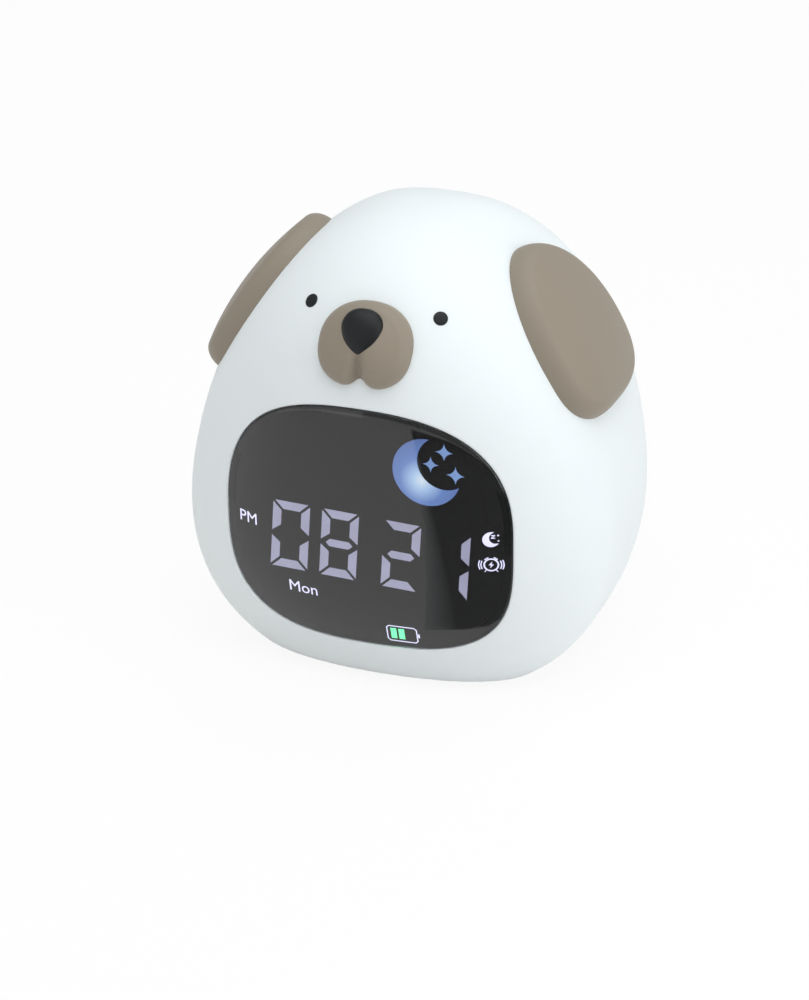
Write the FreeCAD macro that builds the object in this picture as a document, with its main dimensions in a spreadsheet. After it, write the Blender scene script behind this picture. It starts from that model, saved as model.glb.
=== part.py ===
import FreeCAD, Part
import math
import os
import re
from FreeCAD import Placement, Rotation, Vector

# A puppy-shaped children's alarm clock with a night light, in millimetres.
# X runs to the viewer's right, -Y is the front with the face and the display, Z is up.
# The origin is the middle of the resting face under the base.

doc = FreeCAD.newDocument("puppy_clock")
sheet = doc.addObject("Spreadsheet::Sheet", "sizes")

SIZES = [
    # the egg-shaped body
    ("body_height", 119.0),
    ("upper_height", 62.9),
    ("body_half_width", 56.2),
    ("front_depth", 36.5),
    ("back_depth", 64.6),
    ("body_set_back", -3.0),
    ("body_lean", 0.164),
    ("profile_power", 2.215),
    ("front_power", 2.18),
    ("back_power", 2.8),
    ("width_taper", 0.218),
    ("front_swell", 0.3),
    ("back_taper", 0.155),
    # walls and fits
    ("foot_height", 0.8),
    ("cover_wall", 3.0),
    ("cover_fit", 0.3),
    ("shell_wall", 2.0),
    ("shell_split_y", 0.0),
    ("slip_fit", 0.15),
    ("inner_fit", 0.3),
    # face
    ("eye_offset_x", 17.4),
    ("eye_level", 102.7),
    ("eye_radius", 1.85),
    ("eye_peg_depth", 1.6),
    ("eye_dome", 0.6),
    ("muzzle_half_width", 12.4),
    ("muzzle_level", 96.2),
    ("muzzle_rise", 9.4),
    ("muzzle_drop", 9.1),
    ("muzzle_notch", 1.8),
    ("muzzle_puff", 4.6),
    ("nose_level", 100.6),
    ("nose_half_width", 5.4),
    ("nose_half_height", 4.3),
    ("nose_proud", 2.4),
    # ears
    ("ear_length", 46.7),
    ("ear_half_width", 23.3),
    ("ear_puff", 4.8),
    ("ear_top_x", 29.7),
    ("ear_top_z", 112.6),
    ("ear_middle_y", 5.0),
    ("ear_hang_angle", 33.4),
    # lens and display
    ("lens_half_width", 38.8),
    ("lens_half_height", 33.9),
    ("lens_level", 46.7),
    ("lens_top_power", 2.42),
    ("lens_bottom_power", 3.16),
    ("lens_recess", 0.4),
    ("lens_wall", 1.8),
    ("window_ledge", 2.5),
    ("display_face_y", -31.5),
    ("display_face_wall", 1.0),
    ("light_box_depth", 5.5),
    ("board_wall", 1.2),
    ("display_board_half_width", 34.0),
    ("display_board_low", 16.0),
    ("display_board_height", 61.0),
    ("digit_height", 18.0),
    ("digit_width", 9.7),
    ("digit_stroke", 2.1),
    ("digit_gap", 0.45),
    ("digit_level", 40.0),
    ("digit_inner_x", 8.4),
    ("digit_pitch", 13.3),
    ("digit_slant", 2.0),
    ("colon_radius", 1.1),
    ("colon_half_pitch", 4.5),
    ("moon_x", 16.2),
    ("moon_level", 63.7),
    ("moon_radius", 9.1),
    ("moon_bite_radius", 7.2),
    ("moon_bite_shift", 5.6),
    ("moon_bite_angle", 33.4),
    ("star_radius", 2.1),
    ("star_waist", 0.341),
    ("led_width", 3.0),
    ("led_height", 1.1),
    # base
    ("base_wall", 4.0),
    ("foot_radius", 5.0),
    ("foot_seat_depth", 0.8),
    ("front_foot_x", 19.0),
    ("front_foot_y", -12.5),
    ("rear_foot_x", 15.0),
    ("rear_foot_y", 9.0),
    ("middle_foot_radius", 3.2),
    ("boss_radius", 3.0),
    ("boss_height", 8.0),
    ("rib_wall", 1.6),
    ("display_post_radius", 2.4),
    ("screw_radius", 1.1),
    ("screw_head_radius", 2.2),
    ("screw_head_height", 1.5),
    ("screw_length", 8.0),
    ("grille_inner", 4.6),
    ("grille_outer", 10.5),
    ("grille_slot", 1.8),
    ("grille_count", 10),
    # speaker
    ("speaker_radius", 13.0),
    ("speaker_ring_wall", 1.2),
    ("speaker_ring_height", 3.0),
    ("speaker_rim_height", 1.6),
    ("speaker_basket_height", 6.0),
    ("magnet_radius", 9.0),
    ("magnet_height", 4.0),
    # inner frame
    ("leg_offset_x", 19.5),
    ("leg_radius", 3.2),
    ("deck_level", 18.0),
    ("deck_wall", 2.0),
    ("deck_half_width", 23.0),
    ("deck_front_y", -22.0),
    ("deck_length", 45.0),
    ("mast_wall", 2.4),
    ("mast_height", 54.0),
    ("lamp_seat_radius", 17.0),
    ("lamp_board_radius", 15.0),
    ("lamp_board_wall", 1.6),
    ("lamp_led_width", 5.0),
    ("lamp_led_height", 1.6),
    ("lamp_led_ring", 11.0),
    ("lamp_led_count", 6),
    ("main_board_width", 36.0),
    ("main_board_height", 38.0),
    ("main_board_rise", 6.0),
    ("main_board_wall", 1.6),
    ("battery_width", 34.0),
    ("battery_height", 46.0),
    ("battery_depth", 8.0),
    ("battery_rise", 4.0),
    ("battery_pad_wall", 0.8),
    # controls at the back
    ("panel_face_y", 57.5),
    ("panel_level", 47.0),
    ("panel_width", 44.0),
    ("panel_height", 22.0),
    ("panel_wall", 2.0),
    ("panel_depth", 6.0),
    ("panel_flange", 1.8),
    ("panel_flange_wall", 1.5),
    ("panel_seat_margin", 2.0),
    ("button_radius", 3.0),
    ("button_fit", 0.2),
    ("button_proud", 1.2),
    ("button_flange", 0.6),
    ("button_flange_wall", 0.7),
    ("button_travel", 0.6),
    ("button_row_rise", 4.0),
    ("button_pitch", 7.5),
    ("switch_width", 5.0),
    ("switch_height", 2.4),
    ("plunger_radius", 1.1),
    ("plunger_height", 1.6),
    ("port_width", 9.0),
    ("port_height", 3.3),
    ("port_wall", 0.35),
    ("port_drop", 5.0),
    ("port_length", 7.3),
    ("port_tongue_wall", 0.7),
    ("pinhole_radius", 0.6),
    ("pinhole_x", 12.0),
]

for row, (alias, value) in enumerate(SIZES, start=1):
    sheet.set(f"A{row}", alias)
    sheet.set(f"B{row}", str(value))
    sheet.setAlias(f"B{row}", alias)
doc.recompute()


def size(alias):
    return float(sheet.get(alias))


def linked(text):
    """An expression in plain size names, made to read the sheet."""
    return re.sub(r"[a-z][a-z_]*[a-z]", lambda found: "sizes." + found.group(0), str(text))


def bind(piece, **links):
    for name, text in links.items():
        piece.setExpression(name, linked(text))


def place(piece, x, y, z):
    for axis, text in zip("xyz", (x, y, z)):
        piece.setExpression(f"Placement.Base.{axis}", linked(text))


def box(name, x, y, z, length, width, height):
    piece = doc.addObject("Part::Box", name)
    bind(piece, Length=length, Width=width, Height=height)
    place(piece, x, y, z)
    return piece


def cylinder(name, x, y, z, radius, height, along="Z"):
    piece = doc.addObject("Part::Cylinder", name)
    bind(piece, Radius=radius, Height=height)
    if along == "Y":
        piece.Placement = Placement(Vector(), Rotation(Vector(1, 0, 0), -90))
    place(piece, x, y, z)
    return piece


def shaped(name, shape):
    piece = doc.addObject("Part::Feature", name)
    piece.Shape = shape
    piece.Placement = Placement()
    return piece


def cut(name, base, tool):
    piece = doc.addObject("Part::Cut", name)
    piece.Base = base
    piece.Tool = tool
    return piece


def fused(name, pieces):
    piece = doc.addObject("Part::MultiFuse", name)
    piece.Shapes = pieces
    return piece


def common(name, pieces):
    piece = doc.addObject("Part::MultiCommon", name)
    piece.Shapes = pieces
    return piece


def group(name, pieces):
    """Separate solids of one kind, such as screws, kept as one sub-part."""
    piece = doc.addObject("Part::Compound", name)
    piece.Links = pieces
    return piece


# The egg-shaped body. Every level is an oval with a flatter back, and the
# ovals shrink towards the crown and the base along a second curve.

MIDDLE = size("body_height") - size("upper_height")
RING_POINTS = 24
RING_LEVELS = 9


def levelOval(z, inset):
    """Half width, front depth, back depth and middle of the body's oval at a height."""
    reach = size("upper_height") - inset
    s = max(-0.999, min(0.999, (z - MIDDLE) / reach))
    swell = (1 - abs(s) ** size("profile_power")) ** (1 / size("profile_power"))
    width = (size("body_half_width") - inset) * swell * (1 - size("width_taper") * s)
    front = (size("front_depth") - inset) * swell * (1 + size("front_swell") * s)
    back = (size("back_depth") - inset) * swell * (1 - size("back_taper") * s)
    middle = size("body_lean") * (z - MIDDLE) + size("body_set_back")
    return width, front, back, middle


def ringWire(z, inset):
    width, front, back, middle = levelOval(z, inset)
    points = []
    for step in range(RING_POINTS):
        angle = 2 * math.pi * step / RING_POINTS
        across, along = math.cos(angle), math.sin(angle)
        depth = back if along > 0 else front
        power = size("back_power") if along > 0 else size("front_power")
        radius = ((abs(across) / width) ** power + (abs(along) / depth) ** power) ** (-1 / power)
        points.append(Vector(radius * across, middle + radius * along, z))
    curve = Part.BSplineCurve()
    curve.interpolate(Points=points, PeriodicFlag=True)
    return Part.Wire([curve.toShape()])


def bodyForm(inset, bottom):
    """The body's solid, drawn in by an inset and cut flat at its bottom."""
    reach = size("upper_height") - inset
    low = math.asin((bottom - MIDDLE) / reach)
    sections = []
    for step in range(RING_LEVELS):
        tilt = low + (math.pi / 2 - low) * step / RING_LEVELS
        sections.append(ringWire(MIDDLE + reach * math.sin(tilt), inset))
    crown = MIDDLE + reach
    middle = size("body_lean") * reach + size("body_set_back")
    sections.append(Part.Vertex(Vector(0, middle, crown)))
    return Part.makeLoft(sections, True)


def insideBody(point, inset):
    if abs(point.z - MIDDLE) >= size("upper_height") - inset:
        return False
    width, front, back, middle = levelOval(point.z, inset)
    along = point.y - middle
    depth = back if along > 0 else front
    power = size("back_power") if along > 0 else size("front_power")
    return (abs(point.x) / width) ** power + (abs(along) / depth) ** power < 1


def onBody(start, direction, inset=0.0):
    """Where a ray that starts outside the body meets its surface."""
    near = 0.0
    while near < 150 and not insideBody(start + direction * (near + 1), inset):
        near += 1
    far = near + 1
    for _ in range(20):
        half = (near + far) / 2
        if insideBody(start + direction * half, inset):
            far = half
        else:
            near = half
    return start + direction * far


def closedWire(points):
    curve = Part.BSplineCurve()
    curve.interpolate(Points=points, PeriodicFlag=True)
    return Part.Wire([curve.toShape()])


def lensOutline(margin, y):
    """The display's rounded outline, grown or drawn in by a margin."""
    points = []
    for step in range(36):
        angle = 2 * math.pi * (step + 0.5) / 36
        across, up = math.cos(angle), math.sin(angle)
        power = size("lens_top_power") if up > 0 else size("lens_bottom_power")
        width = size("lens_half_width") + margin
        height = size("lens_half_height") + margin
        radius = ((abs(across) / width) ** power + (abs(up) / height) ** power) ** (-1 / power)
        points.append(Vector(radius * across, y, size("lens_level") + radius * up))
    return closedWire(points)


def lensPrism(margin, front, back):
    face = Part.Face(lensOutline(margin, front))
    return face.extrude(Vector(0, back - front, 0))


def roundedBlock(width, height, corner, y, depth, level):
    """A block with rounded corners in front view, running backwards from y."""
    plate = Part.makeBox(width, depth, height, Vector(-width / 2, y, level - height / 2))
    corners = [edge for edge in plate.Edges if abs(edge.tangentAt(0).y) > 0.9]
    return plate.makeFillet(corner, corners)


BASE_BOTTOM = size("foot_height")
BASE_TOP = BASE_BOTTOM + size("base_wall")
SHELL_INSET = size("cover_wall") + size("cover_fit")
CAVITY_INSET = SHELL_INSET + size("shell_wall")
LENS_BACK_INSET = size("lens_recess") + size("lens_wall")
FRONT_Y = -size("front_depth") - 20
BACK_Y = size("back_depth") + 20

outer_form = shaped("outer_form", bodyForm(0, BASE_BOTTOM))
cover_cavity = shaped("cover_cavity", bodyForm(size("cover_wall"), 0))
shell_form = shaped("shell_form", bodyForm(SHELL_INSET, BASE_BOTTOM))
shell_cavity = shaped("shell_cavity", bodyForm(CAVITY_INSET, BASE_BOTTOM))
lens_front_form = shaped("lens_front_form", bodyForm(size("lens_recess"), BASE_BOTTOM))
lens_back_form = shaped("lens_back_form", bodyForm(LENS_BACK_INSET, BASE_BOTTOM))
inner_room = shaped("inner_room", bodyForm(CAVITY_INSET + size("inner_fit"), BASE_BOTTOM))

# Eyes: two small black studs set into the cover.


def eyeStud(side, fit, proud):
    start = Vector(side * size("eye_offset_x"), FRONT_Y, size("eye_level"))
    seat = onBody(start, Vector(0, 1, 0))
    step = 0.5
    right = onBody(start + Vector(step, 0, 0), Vector(0, 1, 0)) - seat
    up = onBody(start + Vector(0, 0, step), Vector(0, 1, 0)) - seat
    outward = right.cross(up).normalize()
    depth = size("eye_peg_depth") + fit
    foot = seat - outward * depth
    if proud <= 0:
        return Part.makeCylinder(size("eye_radius") + fit, 2 * depth, foot, outward)
    ball_radius = (size("eye_radius") ** 2 + proud ** 2) / (2 * proud)
    ball = Part.makeSphere(ball_radius, seat + outward * (proud - ball_radius))
    return Part.makeCylinder(size("eye_radius"), depth + 2 * proud, foot, outward).common(ball)


eye_left = shaped("eye_left", eyeStud(-1, 0, size("eye_dome")))
eye_right = shaped("eye_right", eyeStud(1, 0, size("eye_dome")))
eye_sockets = [shaped(f"eye_socket_{index}", eyeStud(side, 0.05, 0)) for index, side in enumerate((-1, 1))]

# Silicone cover with the openings for the display, the controls and the base.

PANEL_CORNER = size("panel_height") * 0.42
lens_opening = shaped("lens_opening", lensPrism(size("slip_fit"), FRONT_Y, -10))
panel_opening = shaped(
    "panel_opening",
    roundedBlock(
        size("panel_width") + 2 * size("inner_fit"),
        size("panel_height") + 2 * size("inner_fit"),
        PANEL_CORNER,
        size("panel_face_y") - size("panel_depth") - 5,
        40,
        size("panel_level"),
    ),
)
cover_tools = fused("cover_tools", [cover_cavity, lens_opening, panel_opening] + eye_sockets)
silicone_cover = cut("silicone_cover", outer_form, cover_tools)

# Ears and muzzle: soft pads that follow the body, each cut to its own outline
# and rounded at its outer rim.

EAR_WIDEST = 0.62
OUTLINE_POINTS = 28


def softPad(outline, direction, puff, round_over):
    """The slice between the body and its grown form inside an outline, rim rounded."""
    prism = Part.Face(closedWire(outline)).extrude(direction)
    pad = prism.common(bodyForm(-puff, BASE_BOTTOM)).cut(outer_form.Shape).Solids[0]
    rim = [
        edge for edge in pad.Edges
        if not insideBody(edge.valueAt(edge.FirstParameter), -puff * 0.5)
        and not insideBody(edge.valueAt((edge.FirstParameter + edge.LastParameter) / 2), -puff * 0.5)
    ]
    return pad.makeFillet(round_over, rim)


def ear(side):
    """Seen square on the ear is half an ellipse at the top and squarer at the bottom."""
    hang = math.radians(size("ear_hang_angle"))
    down = Vector(side * math.sin(hang), 0, -math.cos(hang))
    outward = Vector(side * math.cos(hang), 0, math.sin(hang))
    top = Vector(side * size("ear_top_x"), size("ear_middle_y"), size("ear_top_z"))
    widest = top + down * (EAR_WIDEST * size("ear_length")) - outward * 12
    outline = []
    for step in range(OUTLINE_POINTS):
        angle = 2 * math.pi * step / OUTLINE_POINTS
        across, along = math.cos(angle), math.sin(angle)
        power = 3 if along > 0 else 2
        reach = size("ear_length") * (1 - EAR_WIDEST if along > 0 else EAR_WIDEST)
        half = size("ear_half_width")
        radius = ((abs(across) / half) ** power + (abs(along) / reach) ** power) ** (-1 / power)
        outline.append(widest + Vector(0, radius * across, 0) + down * (radius * along))
    return softPad(outline, outward * 60, size("ear_puff"), size("ear_puff") * 0.7)


ear_left = shaped("ear_left", ear(-1))
ear_right = shaped("ear_right", ear(1))


def muzzle():
    """Two cheeks that meet in a notch at the bottom."""
    outline = []
    for step in range(2 * OUTLINE_POINTS):
        angle = math.pi * (step + 0.5) / OUTLINE_POINTS
        across, up = math.cos(angle), math.sin(angle)
        height = size("muzzle_rise") if up > 0 else size("muzzle_drop")
        radius = ((abs(across) / size("muzzle_half_width")) ** 2.3 + (abs(up) / height) ** 2.3) ** (-1 / 2.3)
        x = radius * across
        z = size("muzzle_level") + radius * up
        if up < 0:
            z += size("muzzle_notch") * math.exp(-((x / 2.4) ** 2))
        outline.append(Vector(x, FRONT_Y, z))
    return softPad(outline, Vector(0, 40, 0), size("muzzle_puff"), size("muzzle_puff") * 0.48)


muzzle_pad = shaped("muzzle_pad", muzzle())


def facePoint(x, z, lift):
    seat = onBody(Vector(x, FRONT_Y, z), Vector(0, 1, 0))
    return seat - Vector(0, lift, 0)


# Nose: a rounded triangle, wide at the top, pressed into the muzzle.


def noseForm():
    level = size("nose_level")
    front = facePoint(0, level, size("muzzle_puff")).y
    sections = []
    depth = size("nose_proud") * 1.6
    for step in range(5):
        lean = math.pi / 2 * step / 5
        shrink = math.cos(lean) ** 0.7
        y = front + 1.2 - depth * math.sin(lean)
        points = []
        for turn in range(18):
            angle = 2 * math.pi * turn / 18
            narrow = 1 - 0.28 * math.sin(-angle) if math.sin(angle) < 0 else 1
            x = size("nose_half_width") * shrink * math.cos(angle) * narrow
            z = level + size("nose_half_height") * shrink * math.sin(angle)
            points.append(Vector(x, y, z))
        sections.append(closedWire(points))
    sections.append(Part.Vertex(Vector(0, front + 1.2 - depth, level)))
    return Part.makeLoft(sections, True)


nose_form = noseForm()
nose = shaped("nose", nose_form)
nose_socket = shaped("nose_socket", nose_form.copy())
muzzle_node = cut("muzzle", muzzle_pad, nose_socket)

# Display lens and the foam ring that it sits on.

lens_prism = shaped("lens_prism", lensPrism(0, FRONT_Y, -10))
lens_blank = common("lens_blank", [lens_prism, lens_front_form])
display_lens = cut("display_lens", lens_blank, lens_back_form)

window_prism = shaped("window_prism", lensPrism(-size("window_ledge"), FRONT_Y, -10))
gasket_core = fused("gasket_core", [window_prism, shell_form])
gasket_blank = common("gasket_blank", [lens_prism, lens_back_form])
lens_gasket = cut("lens_gasket", gasket_blank, gasket_core)

# Inner shells, parted across the body, with screw bosses near the base.


def bossWithRib(name, side_x, y):
    side = "-1" if side_x.startswith("-") else "1"
    post = cylinder(f"{name}_post", side_x, y, "foot_height + base_wall", "boss_radius", "boss_height")
    rib_x = f"{side_x} - 25" if side == "-1" else side_x
    rib = box(
        f"{name}_rib", rib_x, f"{y} - rib_wall / 2", "foot_height + base_wall", "25", "rib_wall", "boss_height"
    )
    return [post, rib]


def bossHole(name, side_x, y):
    return cylinder(f"{name}_hole", side_x, y, "foot_height + base_wall", "screw_radius", "boss_height - 1")


FEET = [
    ("front_left", "-front_foot_x", "front_foot_y"),
    ("front_right", "front_foot_x", "front_foot_y"),
    ("rear_left", "-rear_foot_x", "rear_foot_y"),
    ("rear_right", "rear_foot_x", "rear_foot_y"),
]

below_shell = box("below_shell", "-100", "-100", "-50", "200", "200", "50 + foot_height + base_wall")

BOARD_FRONT = "display_face_y + display_face_wall + light_box_depth"
DISPLAY_POSTS = [(-28, 72), (28, 72), (-30.5, 20), (30.5, 20)]
inner_posts = []
boss_holes = []
for foot, x, y in FEET:
    inner_posts += bossWithRib(f"shell_{foot}", x, y)
    boss_holes.append(bossHole(f"shell_{foot}", x, y))
for index, (x, z) in enumerate(DISPLAY_POSTS):
    post = cylinder(f"display_post_{index}", x, f"{BOARD_FRONT} - 20", z, "display_post_radius", "20", "Y")
    inner_posts.append(post)

SEAT_Y = size("panel_face_y") - size("panel_depth")
seat_width = size("panel_width") + 2 * (size("panel_flange") + size("panel_seat_margin"))
seat_height = size("panel_height") + 2 * (size("panel_flange") + size("panel_seat_margin"))
inner_posts.append(shaped(
    "panel_seat",
    roundedBlock(seat_width, seat_height, PANEL_CORNER, SEAT_Y, 40, size("panel_level")),
))
panel_hole = shaped(
    "panel_hole",
    roundedBlock(
        size("panel_width") + 2 * size("slip_fit"),
        size("panel_height") + 2 * size("slip_fit"),
        PANEL_CORNER,
        SEAT_Y - 5,
        45,
        size("panel_level"),
    ),
)
shell_room = cut("shell_room", shell_cavity, fused("inner_posts", inner_posts))
shell_tools = fused("shell_tools", [below_shell, window_prism, panel_hole] + boss_holes)


doc.recompute()


def shellHalf(name, start_y):
    """One half of the shell: the form's half, hollowed round its posts, then opened."""
    half = Part.makeBox(200, 100, 250, Vector(-100, start_y, -50))
    walls = shell_form.Shape.common(half).cut(shell_room.Shape)
    return shaped(name, walls.cut(shell_tools.Shape))


front_shell = shellHalf("front_shell", size("shell_split_y") - 100)
rear_shell = shellHalf("rear_shell", size("shell_split_y"))

# Base plate with the speaker grille, foot seats and screw holes.

base_slab = box("base_slab", "-60", "-60", "foot_height", "120", "120", "base_wall")
base_blank = common("base_blank", [shell_form, base_slab])
speaker_ring_outer = cylinder(
    "speaker_ring_outer", "0", "0", "foot_height + base_wall - 1",
    "speaker_radius + slip_fit + speaker_ring_wall", "speaker_ring_height + 1",
)
speaker_ring_inner = cylinder(
    "speaker_ring_inner", "0", "0", "foot_height + base_wall - 2", "speaker_radius + slip_fit", "20"
)
speaker_ring = cut("speaker_ring", speaker_ring_outer, speaker_ring_inner)
base_body = fused("base_body", [base_blank, speaker_ring])

base_tools = []
for foot, x, y in FEET:
    base_tools.append(
        cylinder(f"seat_{foot}", x, y, "foot_height - 1", "foot_radius + slip_fit", "1 + foot_seat_depth")
    )
    base_tools.append(
        cylinder(f"sink_{foot}", x, y, "foot_height - 1", "screw_head_radius + slip_fit",
                 "1 + foot_seat_depth + screw_head_height + slip_fit")
    )
    base_tools.append(
        cylinder(f"pass_{foot}", x, y, "foot_height - 1", "screw_radius + slip_fit", "20")
    )
LEGS = [("left", "-leg_offset_x"), ("right", "leg_offset_x")]
for leg, x in LEGS:
    base_tools.append(
        cylinder(f"sink_leg_{leg}", x, "0", "foot_height - 1", "screw_head_radius + slip_fit",
                 "1 + foot_seat_depth + screw_head_height + slip_fit")
    )
    base_tools.append(cylinder(f"pass_leg_{leg}", x, "0", "foot_height - 1", "screw_radius + slip_fit", "20"))
for index in range(int(size("grille_count"))):
    slot = box(f"grille_slot_{index}", "0", "0", "0", "grille_outer - grille_inner", "grille_slot", "20")
    turn = 2 * math.pi * index / size("grille_count")
    reach = Vector(size("grille_inner"), -size("grille_slot") / 2, 0)
    spin = Rotation(Vector(0, 0, 1), math.degrees(turn))
    for axis in "xyz":
        slot.setExpression(f"Placement.Base.{axis}", None)
    slot.Placement = Placement(spin.multVec(reach), spin)
    base_tools.append(slot)
base_tools.append(
    cylinder("seat_middle", "0", "0", "foot_height - 1", "middle_foot_radius + slip_fit", "1 + foot_seat_depth")
)
base_plate = cut("base_plate", base_body, fused("base_tools", base_tools))

foot_pads = group("foot_pads", [
    cylinder(f"foot_{foot}", x, y, "0", "foot_radius", "foot_height + foot_seat_depth")
    for foot, x, y in FEET
] + [cylinder("foot_middle", "0", "0", "0", "middle_foot_radius", "foot_height + foot_seat_depth")])


def screwUp(name, x, y):
    """A screw whose head sits in the base plate and whose shank points up."""
    head_z = "foot_height + foot_seat_depth + slip_fit"
    head = cylinder(f"{name}_head", x, y, head_z, "screw_head_radius", "screw_head_height")
    shank = cylinder(f"{name}_shank", x, y, head_z, "screw_radius - 0.05", "screw_length")
    return fused(name, [head, shank])


base_screws = group(
    "base_screws",
    [screwUp(f"base_screw_{foot}", x, y) for foot, x, y in FEET]
    + [screwUp(f"base_screw_{leg}", x, "0") for leg, x in LEGS],
)

# Speaker, face down over the grille.

SPEAKER_Z = "foot_height + base_wall"
rim = cylinder("speaker_rim", "0", "0", SPEAKER_Z, "speaker_radius", "speaker_rim_height")
basket_wall = doc.addObject("Part::Cone", "speaker_cup")
bind(basket_wall, Radius1="speaker_radius - 1", Radius2="magnet_radius", Height="speaker_basket_height")
place(basket_wall, "0", "0", SPEAKER_Z)
basket_solid = fused("speaker_basket_solid", [rim, basket_wall])
basket_hollow = doc.addObject("Part::Cone", "speaker_hollow")
bind(basket_hollow, Radius1="speaker_radius - 1.65", Radius2="magnet_radius - 1",
     Height="speaker_basket_height - 0.8")
place(basket_hollow, "0", "0", SPEAKER_Z)
speaker_basket = cut("speaker_basket", basket_solid, basket_hollow)
cone_outer = doc.addObject("Part::Cone", "cone_outer")
bind(cone_outer, Radius1="speaker_radius - 2.2", Radius2="3", Height="3.4")
place(cone_outer, "0", "0", f"{SPEAKER_Z} + 0.8")
cone_inner = doc.addObject("Part::Cone", "cone_inner")
bind(cone_inner, Radius1="speaker_radius - 2.8", Radius2="2.4", Height="3.4")
place(cone_inner, "0", "0", f"{SPEAKER_Z} + 0.4")
speaker_cone = cut("speaker_cone", cone_outer, cone_inner)
speaker_magnet = cylinder("speaker_magnet", "0", "0", f"{SPEAKER_Z} + speaker_basket_height",
                          "magnet_radius", "magnet_height")

# Inner frame: two legs, a deck over the speaker, a mast and the seat of the lamp board.

frame_parts = []
frame_holes = []
for leg, x in LEGS:
    frame_parts.append(
        cylinder(f"leg_{leg}", x, "0", SPEAKER_Z, "leg_radius", "deck_level - foot_height - base_wall")
    )
    frame_holes.append(cylinder(f"leg_hole_{leg}", x, "0", SPEAKER_Z, "screw_radius", "boss_height"))
MAST_BOTTOM = "deck_level + deck_wall"
frame_parts.append(
    box("deck", "-deck_half_width", "deck_front_y", "deck_level", "2 * deck_half_width", "deck_length", "deck_wall")
)
frame_parts.append(
    box("mast", "-deck_half_width", "-mast_wall / 2", MAST_BOTTOM, "2 * deck_half_width", "mast_wall", "mast_height")
)
LAMP_Z = "deck_level + deck_wall + mast_height"
frame_parts.append(cylinder("lamp_seat", "0", "0", LAMP_Z, "lamp_seat_radius", "deck_wall"))
inner_frame = cut("inner_frame", fused("frame_solid", frame_parts), fused("frame_holes", frame_holes))

night_light_board = cylinder("night_light_board", "0", "0", f"{LAMP_Z} + deck_wall",
                             "lamp_board_radius", "lamp_board_wall")
lamp_leds = [
    box("lamp_led_middle", "-lamp_led_width / 2", "-lamp_led_width / 2",
        f"{LAMP_Z} + deck_wall + lamp_board_wall", "lamp_led_width", "lamp_led_width", "lamp_led_height")
]
for index in range(int(size("lamp_led_count"))):
    turn = 360 * index / size("lamp_led_count")
    lamp_led = doc.addObject("Part::Box", f"lamp_led_{index}")
    bind(lamp_led, Length="lamp_led_width", Width="lamp_led_width", Height="lamp_led_height")
    x = math.cos(math.radians(turn))
    y = math.sin(math.radians(turn))
    place(lamp_led, f"lamp_led_ring * {x:.6f} - lamp_led_width / 2",
          f"lamp_led_ring * {y:.6f} - lamp_led_width / 2",
          f"{LAMP_Z} + deck_wall + lamp_board_wall")
    lamp_leds.append(lamp_led)
night_light_leds = group("night_light_leds", lamp_leds)

# Main board on the front of the mast, battery on the back of it.

BOARD_BACK = "-mast_wall / 2"
main_board = box("main_board", "-main_board_width / 2", f"{BOARD_BACK} - main_board_wall",
                 f"{MAST_BOTTOM} + main_board_rise", "main_board_width", "main_board_wall", "main_board_height")
CHIPS = [(-6, 12, 9, 9, 1.2), (6, 8, 6, 5, 1.2), (-13, 4, 5, 8, 4.0), (8, 24, 8, 5, 4.0), (-12, 26, 4, 4, 2.0)]
board_chips = group("board_chips", [
    box(f"chip_{index}", x, f"{BOARD_BACK} - main_board_wall - {deep}",
        f"{MAST_BOTTOM} + main_board_rise + {z}", wide, deep, tall)
    for index, (x, z, wide, tall, deep) in enumerate(CHIPS)
])
battery_pad = box("battery_pad", "-battery_width / 2", "mast_wall / 2", f"{MAST_BOTTOM} + battery_rise",
                  "battery_width", "battery_pad_wall", "battery_height")
battery_box = box("battery_box", "-battery_width / 2", "mast_wall / 2 + battery_pad_wall",
                  f"{MAST_BOTTOM} + battery_rise", "battery_width", "battery_depth", "battery_height")
battery_cell = doc.addObject("Part::Fillet", "battery_cell")
battery_cell.Base = battery_box

# Display: a black face with lit windows, a light box behind it and the board with the lights.


def facePrism(outline, y, depth):
    face = Part.Face(Part.makePolygon([Vector(x, y, z) for x, z in outline + outline[:1]]))
    return face.extrude(Vector(0, depth, 0))


def slanted(x, z):
    return x + (z - size("digit_level")) * math.tan(math.radians(size("digit_slant"))), z


def bar(centre_x, centre_z, length, upright):
    """A six-sided segment of a digit."""
    half = length / 2 - size("digit_gap")
    thick = size("digit_stroke") / 2
    corners = [(-half, 0), (-half + thick, thick), (half - thick, thick), (half, 0),
               (half - thick, -thick), (-half + thick, -thick)]
    if upright:
        corners = [(z, x) for x, z in corners]
    return [slanted(centre_x + x, centre_z + z) for x, z in corners]


def digitBars(centre_x):
    half_wide = (size("digit_width") - size("digit_stroke")) / 2
    half_tall = (size("digit_height") - size("digit_stroke")) / 2
    level = size("digit_level")
    bars = [bar(centre_x, level + rise, 2 * half_wide, False) for rise in (half_tall, 0, -half_tall)]
    for side in (-half_wide, half_wide):
        for rise in (half_tall / 2, -half_tall / 2):
            bars.append(bar(centre_x + side, level + rise, half_tall, True))
    return bars


DIGIT_PLACES = [
    -size("digit_inner_x") - size("digit_pitch"),
    -size("digit_inner_x"),
    size("digit_inner_x"),
    size("digit_inner_x") + size("digit_pitch"),
]
FACE_Y = size("display_face_y")
FACE_WALL = size("display_face_wall")


def starOutline(centre_x, centre_z, radius):
    points = []
    for step in range(8):
        reach = radius if step % 2 == 0 else radius * size("star_waist")
        angle = math.pi * step / 4
        points.append((centre_x + reach * math.cos(angle), centre_z + reach * math.sin(angle)))
    return points


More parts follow.
